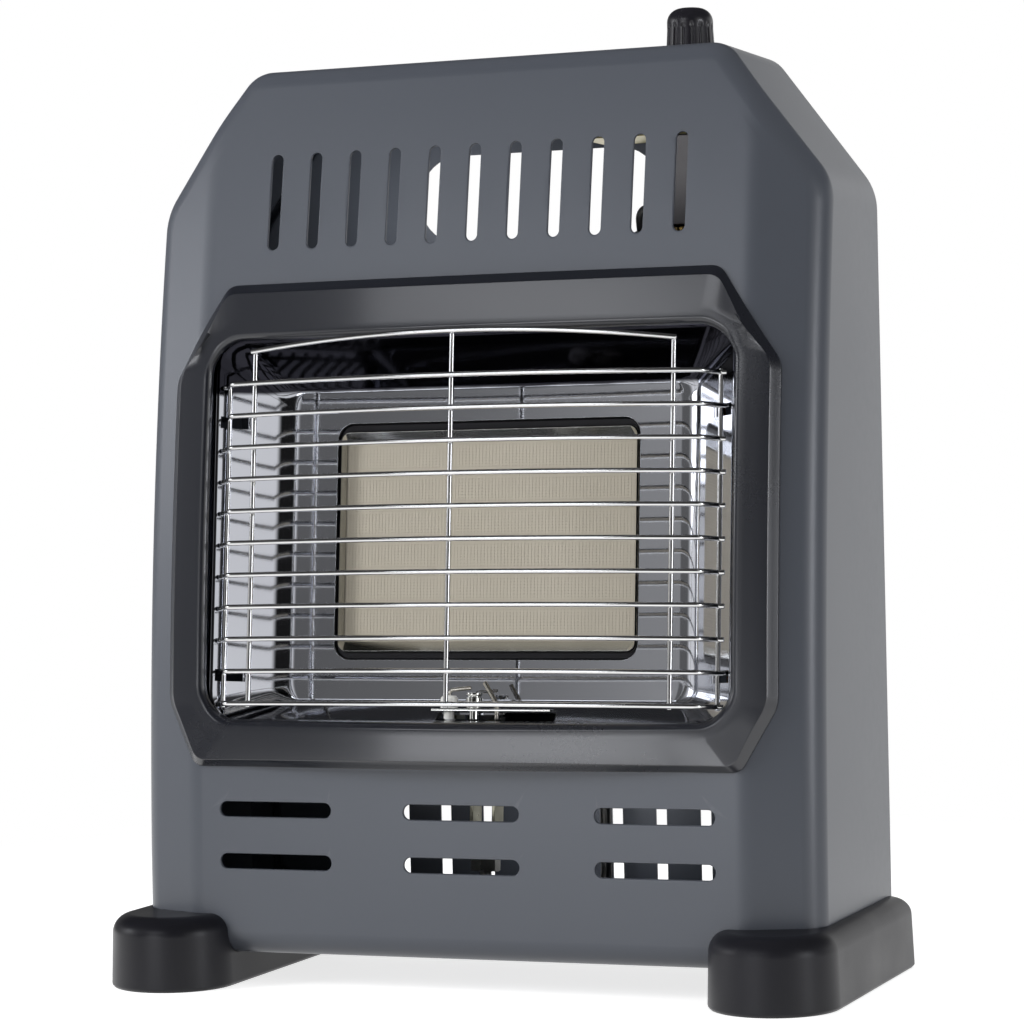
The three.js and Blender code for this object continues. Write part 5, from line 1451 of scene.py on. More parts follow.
@dataclass
class Feet:
    """The two moulded feet, round at the front, with the screws that hold them."""

    x: float = 131.3
    half_width: float = 26.7
    front: float = -71.5
    rear: float = 71.5
    height: float = 30.5
    fillet: float = 8.0
    draft: float = 0.7
    rear_radius: float = 5.0
    chamfer: float = 1.2
    panel: float = 67.1
    screws: tuple[tuple[float, float], ...] = ((124.3, -22.0), (124.3, 46.0), (-124.3, -22.0), (-124.3, 46.0))

    def ring(self, inset: float, z: float) -> np.ndarray:
        """Plan of a foot.

        Args:
            inset: How far it is drawn in.
            z: Its height.

        Returns:
            Its points.
        """
        r = self.half_width - inset
        cy = self.front + self.half_width
        turn = np.linspace(math.pi, 2 * math.pi, 41)
        points = [(r * math.cos(a), cy + r * math.sin(a)) for a in turn]
        rear = self.rear - inset
        q = self.rear_radius
        for side, start in ((1, 0.0), (-1, math.pi / 2)):
            for a in np.linspace(start, start + math.pi / 2, 7):
                points.append((side * (r - q) + q * math.cos(a), rear - q + q * math.sin(a)))
        return in_plan(np.array(points), z)

    def solid(self) -> Form:
        """A foot before its pocket and screw holes are cut.

        Returns:
            Its closed form, about its own middle.
        """
        sole, wall = self.chamfer, self.chamfer + 0.5
        base = self.height - self.fillet
        levels = [(sole + 0.3, 0.0), (sole - 0.2, 0.15), (0.12, sole - 0.12), (0.0, wall)]
        levels += [(self.draft * t, wall + (base - sole - 0.5) * t) for t in (0.5, 1.0)]
        for a in np.linspace(0, math.pi / 2, 11)[1:]:
            levels.append((self.draft + self.fillet * (1 - math.cos(a)), base + self.fillet * math.sin(a)))
        return loft([self.ring(inset, z) for inset, z in levels])

    def build(self) -> None:
        """Makes the feet and their screws."""
        solid = self.solid()
        pocket = SHAPE.form(-GAP, self.panel, 3)
        bore = lathe([
            (0, -1), (5.8, -1), (4.9, 0.15), (4.8, 0.4), (4.8, 9), (2.3, 9), (2.3, 15), (0, 15),
        ], 40)
        for name, side in (("foot_left", -1), ("foot_right", 1)):
            foot = carve(solid.moved(side * self.x), [pocket])
            foot = carve(foot, [bore.moved(x, y) for x, y in self.screws if x * side > 0])
            piece(name, foot, FOOT_PLASTIC, sharp=40)
        screw = lathe([
            (0, 6.1), (2.2, 6.2), (3.3, 6.5), (3.85, 7.0), (4.0, 7.7), (4.0, 8.6), (3.9, 8.7), (2.0, 8.7),
            (2.0, 20.0), (1.7, 20.2), (0, 20.2),
        ], 40)
        screw = cross_cut(screw, 2.2, 0.45, (5, 7.5))
        for i, (x, y) in enumerate(self.screws):
            piece(f"foot_screw_{i + 1}", screw.moved(x, y), SCREW_STEEL)
        piece("base_plate", eased("base_plate", 0.2), PANEL_PAINT)


@dataclass
class Bezel:
    """The glossy eight-sided frame that stands off the cover round the burner."""

    half_width: float = 133.5
    low: float = 92.0
    top: float = 292.8
    top_cut: tuple[float, float] = (25.0, 39.5)
    low_cut: tuple[float, float] = (14.0, 26.0)
    opening: tuple[float, float, float] = (115.2, 111.4, 269.3)
    radius: float = 15.0
    bow: float = 10.0
    edge: float = 3.7
    lip: float = 3.5
    sheet: float = 1.4
    inside: float = 1.0
    corner: float = 4.0
    seat: float = 0.6
    step: float = 1.5
    level_steps: int = 24
    upright_steps: int = 12

    def stations(self) -> tuple[np.ndarray, np.ndarray]:
        """Matching points of the outside and of the opening.

        Returns:
            The outside's points and the opening's, each (n, 2).
        """
        w, lo, hi = self.half_width, self.low, self.top
        (tx, tz), (bx, bz) = self.top_cut, self.low_cut
        outer = [(w, lo + bz), (w, hi - tz), (w - tx, hi), (-w + tx, hi), (-w, hi - tz), (-w, lo + bz),
                 (-w + bx, lo), (w - bx, lo)]
        ox, oz0, oz1 = self.opening
        r = self.radius
        x, z0, z1 = ox - r, oz0 + r, oz1 - r
        centres = [(x, z1, 0), (-x, z1, 90), (-x, z0, 180), (x, z0, 270)]
        soft = softened(outer, self.corner, 6).reshape(8, 7, 2)
        outs: list[np.ndarray] = []
        intos: list[np.ndarray] = []
        for c, (cx, cz, start) in enumerate(centres):
            before, beyond = soft[(2 * c + 1) % 8], soft[(2 * c + 2) % 8]
            across = [before[-1] + (beyond[0] - before[-1]) * t for t in np.linspace(0, 1, 6)[1:-1]]
            run = [*before, *across, *beyond]
            for i, out in enumerate(run):
                a = math.radians(start + 90 * i / (len(run) - 1))
                outs.append(out)
                intos.append(np.array([cx + r * math.cos(a), cz + r * math.sin(a)]))
            nx, nz, nstart = centres[(c + 1) % 4]
            na = math.radians(nstart)
            into = np.array([nx + r * math.cos(na), nz + r * math.sin(na)])
            last_out, last_in = outs[-1], intos[-1]
            steps = self.level_steps if c % 2 == 0 else self.upright_steps
            for i in range(1, steps):
                outs.append(last_out + (soft[(2 * c + 3) % 8][0] - last_out) * i / steps)
                intos.append(last_in + (into - last_in) * i / steps)
        return np.array(outs), np.array(intos)

    def face_y(self, p: np.ndarray) -> np.ndarray:
        """Depth of the bowed face at points of x and z."""
        return SHAPE.front_y(p[:, 1]) - self.bow * (1 - (p[:, 0] / self.half_width) ** 2)

    def loops(self) -> list[np.ndarray]:
        """Rings of the section, from the cover over the outer edge and the face into the opening and back.

        Returns:
            The rings.
        """
        outs, intos = self.stations()

        def loop(inner: bool, distance: float, depth: Callable[[np.ndarray], np.ndarray]) -> np.ndarray:
            """A ring of the section.

            Args:
                inner: Whether its distance is from the opening and not from the outside.
                distance: Its distance.
                depth: Gives its depth at points of x and z.

            Returns:
                Its points.
            """
            a, b = (intos, outs) if inner else (outs, intos)
            away = b - a
            p = a + away / np.linalg.norm(away, axis=1)[:, None] * distance
            return in_front_view(p, depth(p))

        def face(back: float, keep: float = 0.0, behind: float = -GAP) -> Callable[[np.ndarray], np.ndarray]:
            """Depth behind the bowed face, held in front of the cover or let a little behind it."""
            return lambda p: np.minimum(self.face_y(p) + back, cover_y(p) + behind - keep)

        def on_cover(p: np.ndarray) -> np.ndarray:
            """Depth at which the bezel rests on the cover."""
            return cover_y(p) - GAP

        def in_cover(p: np.ndarray) -> np.ndarray:
            """Depth to which the opening's lip reaches into the cover."""
            return cover_y(p) + self.inside

        e, k, s, step = self.edge, self.lip, self.sheet, self.step
        near_e, near_k = e + s * 0.4, k + s * 0.4
        loops = [loop(False, 0, on_cover)]
        for share, soft in ((0.0, 0.0), (0.06, 0.05), (0.5, 0.0), (0.9, 0.0), (0.97, 0.01), (1.06, 0.0)):
            back = max(e * (1 - share), 0.0) + e * soft
            loops.append(loop(False, e * share, face(back, self.seat + 2 * step * min(share, 1.0))))
        loops += [loop(True, d, face(0)) for d in (9.0, 6.0)]
        for t in np.linspace(math.pi / 2, 0, 7):
            back = k * (1 - math.sin(t))
            depth = face(back, step, self.inside) if t == 0 else face(back)
            loops.append(loop(True, k * (1 - math.cos(t)), depth))
        return loops + [
            loop(True, 0, in_cover),
            loop(True, s, in_cover),
            loop(True, s, face(near_k, step / 3)),
            loop(True, near_k, face(s, step / 3)),
            loop(False, near_e, face(s, step)),
            loop(False, s, face(near_e, step * 0.8)),
            loop(False, s, on_cover),
        ]

    def build(self) -> None:
        """Makes the bezel."""
        piece("bezel", loft(self.loops(), endless=True), BEZEL_GLOSS, sharp=50)


# The radiant unit leans back by an angle about a place behind the cover's opening.
LEAN = math.radians(6.2)
UNIT_Y = -12.5
UNIT_Z = 184.0


def in_unit(form: Form) -> Form:
    """Turns a form from the leaning radiant unit's directions into the cabinet's.

    Args:
        form: The form in the unit's directions, from the middle of the plaque.

    Returns:
        The form in the cabinet's directions.
    """
    c, s = math.cos(LEAN), math.sin(LEAN)

    def place(p: np.ndarray) -> np.ndarray:
        """Places points of the unit."""
        x, y, z = p.T
        return np.column_stack([x, UNIT_Y + y * c + z * s, UNIT_Z - y * s + z * c])

    return form.mapped(place)


@dataclass
class Reflector:
    """The polished tray behind the guard, with its hook slots and pilot window."""

    sheet: float = 0.6
    back: tuple[float, float, float] = (90.5, -67.0, 64.0)
    mouth: tuple[float, float, float] = (114.0, -76.0, 83.0)
    depth: float = 20.7
    flange: float = 6.0
    corner: float = 12.0
    bend: float = 1.6
    side_bend: float = 6.5
    window: tuple[float, float, float] = (67.6, 49.8, 7.0)
    hooked: tuple[int, ...] = (1, 9)
    hook_slot: tuple[float, float] = (94.5, 120.0)
    hook_room: tuple[float, float] = (9.0, 5.0)
    pilot_x: tuple[float, float] = (-13.2, 14.9)
    pilot_y: tuple[float, float] = (-18.0, -11.5)
    pilot_z: tuple[float, float] = (-79.0, -66.0)

    def low_wall(self, depth: float) -> float:
        """Height of the lower wall's inside at a depth in front of the tray's back."""
        return self.back[1] + (self.mouth[1] - self.back[1]) * (depth / self.depth)

    def ring(self, t: float, y: float, grow: float) -> np.ndarray:
        """Ring of the tray.

        Args:
            t: Share of the way from its back to its mouth.
            y: Its depth.
            grow: How far outside the tray's inside it lies.

        Returns:
            Its points.
        """
        x, low, top = (a + (b - a) * t for a, b in zip(self.back, self.mouth))
        r = self.corner / 2 * (1 + t) + grow
        return in_front_view(rect_outline(-x - grow, x + grow, low - grow, top + grow, r, 8), y)

    def tray(self) -> Form:
        """The sheet before its slots are cut.

        Returns:
            Its closed form.
        """
        s, front = self.sheet, -self.depth
        wide, high, r = self.window
        hole = rect_outline(-wide, wide, -high, high, r, 8)
        floor = self.ring(0, 0, 0)
        upright = np.clip((np.abs(floor[:, 0]) - self.back[0] + self.corner / 2) / (self.corner / 2), 0, 1)
        side = (self.bend + (self.side_bend - self.bend) * upright)[:, None]
        cut = 0.15
        bends = [
            (in_front_view(hole, 0.0), cut),
            (floor, side),
            (self.ring(1, front - s, 0), 1.0),
            (self.ring(1, front - s, self.flange), cut),
            (self.ring(1, front, self.flange), cut),
            (self.ring(1, front, s), s),
            (self.ring(0, s, s), side + s),
            (in_front_view(hole, s), cut),
        ]
        return loft(soft_rings([ring for ring, _ in bends], [reach for _, reach in bends], 7), endless=True)

    def build(self) -> None:
        """Makes the tray."""
        guard = Guard()
        room, high = self.hook_room
        y0 = -guard.end[1] + guard.radius + GAP
        tools = []
        for row in self.hooked:
            z1 = guard.low + row * guard.pitch + guard.radius + GAP
            for side in (-1, 1):
                reach = sorted(side * x for x in self.hook_slot)
                tools.append(block(reach, (y0, y0 + room), (z1 - high, z1)))
        tools.append(block(self.pilot_x, self.pilot_y, self.pilot_z))
        tray = in_unit(carve(self.tray(), tools))
        piece("reflector", tray, POLISHED_STEEL, sharp=50)


@dataclass
class Burner:
    """The ceramic plaque in its bright frame, the burner box, mixer tube and injector."""

    width: float = 132.0
    height: float = 92.0
    thickness: float = 13.0
    setback: float = 5.5
    hole_pitch: tuple[float, float] = (1.5, 1.3)
    holed: tuple[float, float] = (64.5, 41.0)
    hole: float = 0.27
    hole_depth: float = 0.3
    ease: float = 0.6
    box_low: float = -51.8
    mixer: tuple[float, float] = (-8.5, 28.5)
    mixer_inside: float = 6.0
    mixer_below: float = 38.0
    strap_below: float = 41.0

    @property
    def mixer_low(self) -> float:
        """Height of the mixer tube's open end."""
        return self.box_low - self.mixer_below

    @property
    def strap(self) -> float:
        """Height of the injector strap's lower face."""
        return self.mixer_low - self.strap_below

    def plaque(self) -> Form:
        """The plaque with its fine burner holes as real recesses.

        Returns:
            Its closed form.
        """
        px, pz = self.hole_pitch
        nx, nz = (int(2 * half / pitch) for half, pitch in zip(self.holed, self.hole_pitch))
        x0, z0 = -nx * px / 2, -nz * pz / 2
        front, taper = self.setback, 0.9
        turn = np.arange(8) * math.pi / 4 + math.pi / 8
        circle = np.column_stack([np.cos(turn), np.sin(turn)]) * self.hole
        points: list[tuple[float, float, float]] = []
        faces: list[tuple[int, ...]] = []
        for i in range(nx + 1):
            points += [(x0 + i * px, front, z0 + j * pz) for j in range(nz + 1)]
        for i in range(nx):
            for j in range(nz):
                a = i * (nz + 1) + j
                corner = (a + nz + 2, a + 1, a, a + nz + 1)
                b = len(points)
                cx, cz = x0 + (i + 0.5) * px, z0 + (j + 0.5) * pz
                points += [(cx + u, front, cz + v) for u, v in circle]
                points += [(cx + u * taper, front + self.hole_depth, cz + v * taper) for u, v in circle]
                for k in range(4):
                    faces.append((corner[k], b + 2 * k + 1, b + 2 * k))
                    faces.append((corner[k], corner[(k + 1) % 4], b + (2 * k + 2) % 8, b + 2 * k + 1))
                faces += [(b + k, b + (k + 1) % 8, b + 8 + (k + 1) % 8, b + 8 + k) for k in range(8)]
                faces.append(tuple(b + 8 + k for k in range(8)))
        edge = [(i * (nz + 1)) for i in range(nx + 1)]
        edge += [nx * (nz + 1) + j for j in range(1, nz + 1)]
        edge += [i * (nz + 1) + nz for i in range(nx - 1, -1, -1)]
        edge += list(range(nz - 1, 0, -1))
        ring = np.array([points[k] for k in edge]) / (nx * px / 2, 1, nz * pz / 2)
        n, last = len(edge), edge
        for ease, y in ((self.ease, front), (0.0, front + self.ease), (0.0, front + self.thickness)):
            b = len(points)
            x, z = ring[:, 0] * (self.width / 2 - ease), ring[:, 2] * (self.height / 2 - ease)
            points += [tuple(p) for p in np.column_stack([x, np.full(n, y), z])]
            fresh = list(range(b, b + n))
            faces += [(last[k], last[(k + 1) % n], fresh[(k + 1) % n], fresh[k]) for k in range(n)]
            last = fresh
        faces.append(tuple(last[::-1]))
        return Form(np.array(points), faces)

    def section(self, *bends: tuple[float, float, float, float]) -> Form:
        """Bends a closed section round the plaque.

        Args:
            bends: Half width, half height, corner radius and depth of each bend.

        Returns:
            The closed form.
        """
        loops = [in_front_view(rect_outline(-x, x, -z, z, r, 8), y) for x, z, r, y in bends]
        return loft(soft_rings(loops, (0.15,) * len(loops), 3), endless=True)

    def frame(self) -> Form:
        """The bright frame that slopes down to the plaque.

        Returns:
            Its closed form in the unit's directions.
        """
        return self.section(
            (66.2, 46.7, 4.2, 1.6), (66.0, 46.0, 3.6, 0.4), (65.4, 41.8, 1.0, 4.6), (65.4, 41.8, 1.0, 5.2),
            (66.2, 46.9, 4.2, 2.2),
        )

    def channel(self) -> Form:
        """The sunk channel round the frame, near black as painted shadow of the gap.

        Returns:
            Its closed form in the unit's directions.
        """
        return self.section(
            (67.3, 49.5, 6.7, 0.5), (67.1, 49.1, 6.3, 2.2), (66.3, 46.8, 4.2, 2.3), (66.3, 46.8, 4.2, 2.9),
            (67.3, 49.5, 6.7, 2.9),
        )

    def mixer_tube(self) -> Form:
        """The mixer tube with its flared open end.

        Returns:
            Its closed form in the unit's directions.
        """
        top, low = self.box_low + self.mixer_inside, self.mixer_low
        return lathe(soft_profile([
            (8, top), (8, low + 6), (11, low), (12, low), (9, low + 7), (9, top), (8, top),
        ], 1.2, 4), 56).moved(*self.mixer)

    def injector(self) -> Form:
        """The brass injector on its strap.

        Returns:
            Its closed form in the unit's directions.
        """
        z = self.strap
        return lathe(soft_profile([
            (0, z - 2.7), (3, z - 2.7), (3, z + 1.8), (3.6, z + 1.8), (3.6, z + 5.5), (1.4, z + 10.5),
            (0.5, z + 10.5), (0.5, z + 9), (0, z + 9),
        ], 0.3, 2), 40).moved(*self.mixer)

    def build(self) -> None:
        """Makes the burner's pieces."""
        injector_nut = nut(6.2, self.strap - 6.3, self.strap - GAP, 3.3).moved(*self.mixer)
        piece("ceramic_plaque", in_unit(self.plaque()), PLAQUE, sharp=50)
        piece("plaque_frame", in_unit(self.frame()), BRIGHT_STEEL, sharp=60)
        # The channel is painted near black, a painted shadow of the gap round the frame.
        piece("plaque_frame", in_unit(self.channel()), PAINTED_SHADOW_STEEL, sharp=60, name="frame_channel")
        piece("plaque_gasket", eased("plaque_gasket", 0.4), GASKET)
        piece("burner_box", eased("burner_box", 0.35), CASTING)
        piece("mixer_tube", in_unit(self.mixer_tube()), TUBE_STEEL)
        piece("injector_bracket", eased("injector_bracket", 0.3, 40), ZINC_PLATE)
        piece("injector", in_unit(self.injector()), BRASS)
        piece("injector_nut", in_unit(injector_nut), SCREW_STEEL)


@dataclass
class Guard:
    """The chromed grille: eleven level wires welded to five uprights under an arch."""

    radius: float = 1.05
    wires: int = 11
    pitch: float = 13.32
    low: float = -69.2
    half_width: float = 103.0
    front: float = 41.0
    corner: float = 30.5
    end: tuple[float, float] = (108.5, 21.6)
    post: float = 92.0
    arch_end: float = 77.4
    arch_rise: float = 4.7
    bend: float = 4.5
    corner_run: float = 5.0
    hook: tuple[float, float] = (4.5, 4.5)
    tail: tuple[float, float] = (2.6, 0.6)
    over: float = 1.5
    sunk: float = 0.35

    def depth(self, x: np.ndarray | float) -> np.ndarray | float:
        """Depth of the bowed wires.

        Args:
            x: Distance from the middle.

        Returns:
            Their depth.
        """
        sag = self.front - self.corner
        r = (self.half_width ** 2 + sag ** 2) / (2 * sag)
        return -self.front + r - np.sqrt(r * r - np.asarray(x, float) ** 2)

    def arch_z(self, x: float) -> float:
        """Height of the arched top wire at a distance x from the middle."""
        return self.arch_end + self.arch_rise * (1 - (x / self.post) ** 2)

    def level(self, z: float, hooked: bool) -> Form:
        """A level wire.

        Args:
            z: Its height.
            hooked: Whether its ends reach into the reflector's slots.

        Returns:
            The wire.
        """
        half = [(x, float(self.depth(x))) for x in np.linspace(0, self.half_width - self.corner_run, 13)]
        corner = (self.half_width, float(self.depth(self.half_width)))
        end = (self.end[0], -self.end[1])
        run, back = self.hook if hooked else self.tail
        half = half[:-1] + soft_profile([half[-1], corner, end, (end[0] + run, end[1] + back)], self.bend, 8)
        line = [(-x, y, z) for x, y in reversed(half[1:])] + [(x, y, z) for x, y in half]
        return tube(np.array(line), self.radius, 16)

    def upright(self, x: float, y: float, top: float) -> Form:
        """An upright wire.

        Args:
            x: Its place.
            y: Its depth.
            top: Height of its upper end.

        Returns:
            The wire.
        """
        heights = np.linspace(self.low - self.over, top, 12)
        return tube(np.array([(x, y, z) for z in heights]), self.radius, 16)

    def build(self) -> None:
        """Makes the grille."""
        hooked = Reflector().hooked
        wires = [self.level(self.low + i * self.pitch, i in hooked) for i in range(self.wires)]
        weld = 2 * self.radius - self.sunk
        top = self.low + (self.wires - 1) * self.pitch + self.over
        posts = (-self.post, 0.0, self.post)
        wires += [self.upright(x, float(self.depth(x)) + weld, self.arch_z(x)) for x in posts]
        wires += [self.upright(x, -self.end[1] + weld * 0.6, top) for x in (-self.end[0], self.end[0])]
        xs = np.linspace(-self.post - self.over, self.post + self.over, 41)
        arch = [(x, float(self.depth(x)) + weld * 0.3, self.arch_z(x)) for x in xs]
        wires.append(tube(np.array(arch), self.radius, 16))
        grille = in_unit(wires[0].joined(*wires[1:]))
        piece("guard", grille, GUARD_CHROME, sharp=60)


@dataclass
class Pilot:
    """The pilot group on the tray's floor: plate, burner, spark electrode and thermocouple."""

    y: float = -14.5
    ceramic_x: float = -8.6
    burner_x: float = 2.4
    probe_x: float = 12.4
    wall_depth: float = 10.5
    plate: float = 0.8
    stem_below: float = 9.0

    @property
    def low(self) -> float:
        """Height of the pilot plate's lower face, above the tray's lower wall."""
        return Reflector().low_wall(self.wall_depth) + GAP

    @property
    def stem(self) -> float:
        """Height of the lower ends of the burner, the ceramic and the probe."""
        return self.low - self.stem_below

    def build(self) -> None:
        """Makes the pilot's pieces."""
        top, stem = self.low + self.plate, self.stem
        piece("pilot_bracket", eased("pilot_bracket", 0.18, 50), BRIGHT_STEEL)
        t = top + GAP
        burner = lathe(soft_profile([
            (0, stem), (2, stem), (2, t), (3.3, t), (3.3, t + 4.4), (2.7, t + 4.4), (2.7, t + 5.2),
            (3.3, t + 5.2), (3.3, t + 6.4), (1.6, t + 6.4), (1.6, t + 5.6), (0, t + 5.6),
        ], 0.25, 2), 44).moved(self.burner_x, self.y)
        piece("pilot_burner", in_unit(burner), BRIGHT_STEEL)
        ceramic = lathe(soft_profile([
            (1.1, stem), (2.2, stem), (2.2, t), (3.6, t), (3.6, t + 4.2), (2.6, t + 5.2), (1.1, t + 5.2),
            (1.1, stem),
        ], 0.35, 3)[:-1] + [(1.1, stem)], 44).moved(self.ceramic_x, self.y)
        piece("electrode_ceramic", in_unit(ceramic), CERAMIC)
        spark = soft_path([
            (self.ceramic_x, self.y, stem), (self.ceramic_x, self.y, top + 7.8),
            (self.ceramic_x + 9.6, self.y, top + 8.6),
        ], 2.0, 8)
        piece("spark_electrode", in_unit(tube(spark, 0.8, 14)), PROBE_STEEL)
        probe = soft_path([
            (self.probe_x, self.y, stem), (self.probe_x, self.y, top + 2),
            (self.probe_x - 5.6, self.y, top + 11),
        ], 2.0, 8)
        piece("thermocouple_tip", in_unit(tube(probe, 1.0, 16)), PROBE_STEEL)


@dataclass
class Valve:
    """The gas valve under the top with its bracket, knob, spring and igniter."""

    x: float = 79.0
    y: float = 33.5
    knob_low: float = 372.0
    knob_top: float = 403.4
    dome: float = 6.0
    radius: float = 10.9
    top_radius: float = 9.6
    flutes: int = 16
    flute: float = 0.75
    spring_low: float = 360.0
    spring_top: float = 373.6
    spring_turns: int = 5
    piezo_x: float = 100.0
    piezo_top: float = 349.8
    piezo_length: float = 34.0
    magnet_low: float = 290.5
    body_low: float = 312.8

    @property
    def piezo_low(self) -> float:
        """Height of the igniter's lower end."""
        return self.piezo_top - self.piezo_length

    def knob(self) -> Form:
        """The fluted cap with its hollow and boss.

        Returns:
            Its closed form about its own axis.
        """
        steps = self.flutes * 8
        a = np.linspace(0, 2 * math.pi, steps, endpoint=False)
        scallop = np.clip(np.cos(a * self.flutes), 0, 1) ** 0.8
        dome_z = self.knob_top - self.dome

        def ring(r: float, z: float, depth: float) -> np.ndarray:
            """A level of the cap, with flutes of a depth."""
            out = r - depth * scallop
            return np.column_stack([out * np.cos(a), out * np.sin(a), np.full(steps, z)])

        low, wide, narrow, deep = self.knob_low, self.radius, self.top_radius, self.flute
        rings = [ring(wide - 0.5, low, deep), ring(wide - 0.1, low + 0.2, deep), ring(wide, low + 0.6, deep)]
        run = dome_z - 3.0 - low
        rings += [ring(wide + (narrow - wide) * t, low + run * t, deep) for t in (0.25, 0.5, 0.75, 1.0)]
        rings += [ring(narrow, dome_z - z, deep * share) for z, share in ((2.0, 0.75), (1.0, 0.3), (0.3, 0))]
        for t in np.radians([4, 14, 25, 36, 47, 58, 69, 80]):
            across, rise = self.dome * math.cos(t), self.dome * math.sin(t) * 0.97
            rings.append(ring(narrow - self.dome + across, dome_z + rise, 0))
        rings += [ring(2.3, self.knob_top - 0.04, 0), ring(1.0, self.knob_top, 0)]
        under, open_end = dome_z - 2, 359.3
        hollow = lathe([
            (5.2, open_end), (8.9, open_end), (7.6, under - 0.6), (7.0, under), (5.2, under), (5.2, open_end),
        ], 64)
        boss = rod(5.21, low - 2, low + 2.3, segments=64)
        shaft = rod(3.3, low - 3, dome_z - 0.7, segments=48)
        return carve(carve(carve(loft(rings), [hollow]), [boss]), [shaft])

    def spring(self) -> Form:
        """The return spring under the knob.

        Returns:
            Its closed form about its own axis.
        """
        t = np.linspace(0, 1, self.spring_turns * 32 + 1)
        a = t * self.spring_turns * 2 * math.pi
        rise = self.spring_low + (self.spring_top - self.spring_low) * t
        return tube(np.column_stack([4.4 * np.cos(a), 4.4 * np.sin(a), rise]), 0.4, 12)

    def magnet_unit(self) -> Form:
        """The magnet unit that hangs under the valve's body.

        Returns:
            Its closed form about its own axis.
        """
        z = self.magnet_low
        return lathe(soft_profile([
            (0, z), (5.5, z), (5.5, z + 5), (8.5, z + 5), (8.5, z + 17.5), (7.9, z + 18.1), (8.5, z + 18.7),
            (8.5, z + 22), (6.7, z + 22), (6.7, z + 33.3), (0, z + 33.3),
        ], 0.4, 2), 48)

    def piezo(self) -> Form:
        """The piezo igniter beside the valve.

        Returns:
            Its closed form about its own axis.
        """
        low, top = self.piezo_low, self.piezo_top
        return lathe(soft_profile([
            (0, low), (2.2, low), (3.3, low + 4), (5.5, low + 4), (5.5, top), (0, top),
        ], 0.5, 3), 44)

    def build(self) -> None:
        """Makes the valve's pieces."""
        def at(form: Form) -> Form:
            """Moves a form to the valve's axis."""
            return form.moved(self.x, self.y)

        piece("valve_bracket", eased("valve_bracket", 0.3, 50), YELLOW_ZINC)
        piece("valve_body", eased("valve_body", 0.6, 50), DARK_CASTING)
        piece("valve_plug", eased("valve_plug", 0.2, 50), BRASS, Body.PLUG)
        piece("valve_spindle", eased("valve_spindle", 0.2, 50), SCREW_STEEL, Body.KNOB)
        piece("control_knob", at(self.knob()), KNOB_PLASTIC, Body.KNOB, 48)
        spring = piece("return_spring", at(self.spring()), SPRING_STEEL)
        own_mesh(spring)
        piece("valve_nut", at(nut(9.5, 351.9, 355.9, 6.7)), BRASS)
        piece("magnet_unit", at(self.magnet_unit()), BRASS)
        piezo = self.piezo().moved(self.piezo_x, self.y)
        piece("piezo_igniter", piezo, PIEZO_PLASTIC)


@dataclass
class Inlet:
    """The hose nozzle and its nut at the rear."""

    x: float = 79.0
    z: float = 322.8
    root: float = 45.8
    tip: float = 71.0
    bore: float = 2.2
    radius: float = 4.2
    barb: float = 4.9
    barb_pitch: float = 3.4

    def build(self) -> None:
        """Makes the nozzle and the nut."""
        root, tip, bore, r = self.root, self.tip, self.bore, self.radius
        line = [(bore, root), (r, root), (r, tip - 10.3)]
        for i in (2, 1, 0):
            y = tip - 1 - i * self.barb_pitch
            line += [(r, y - 2.4), (self.barb, y - 2.4), (r, y)]
        line += [(r, tip - 0.3), (r - 0.3, tip), (bore + 0.3, tip), (bore, tip - 0.3), (bore, root)]
        nozzle = lathe(line, 48, Axis.Y).moved(self.x, 0, self.z)
        piece("inlet_nozzle", nozzle, BRASS)
        inlet_nut = nut(8.5, root, root + 7, 4.5, Axis.Y).moved(self.x, 0, self.z)
        piece("inlet_nut", inlet_nut, BRASS)


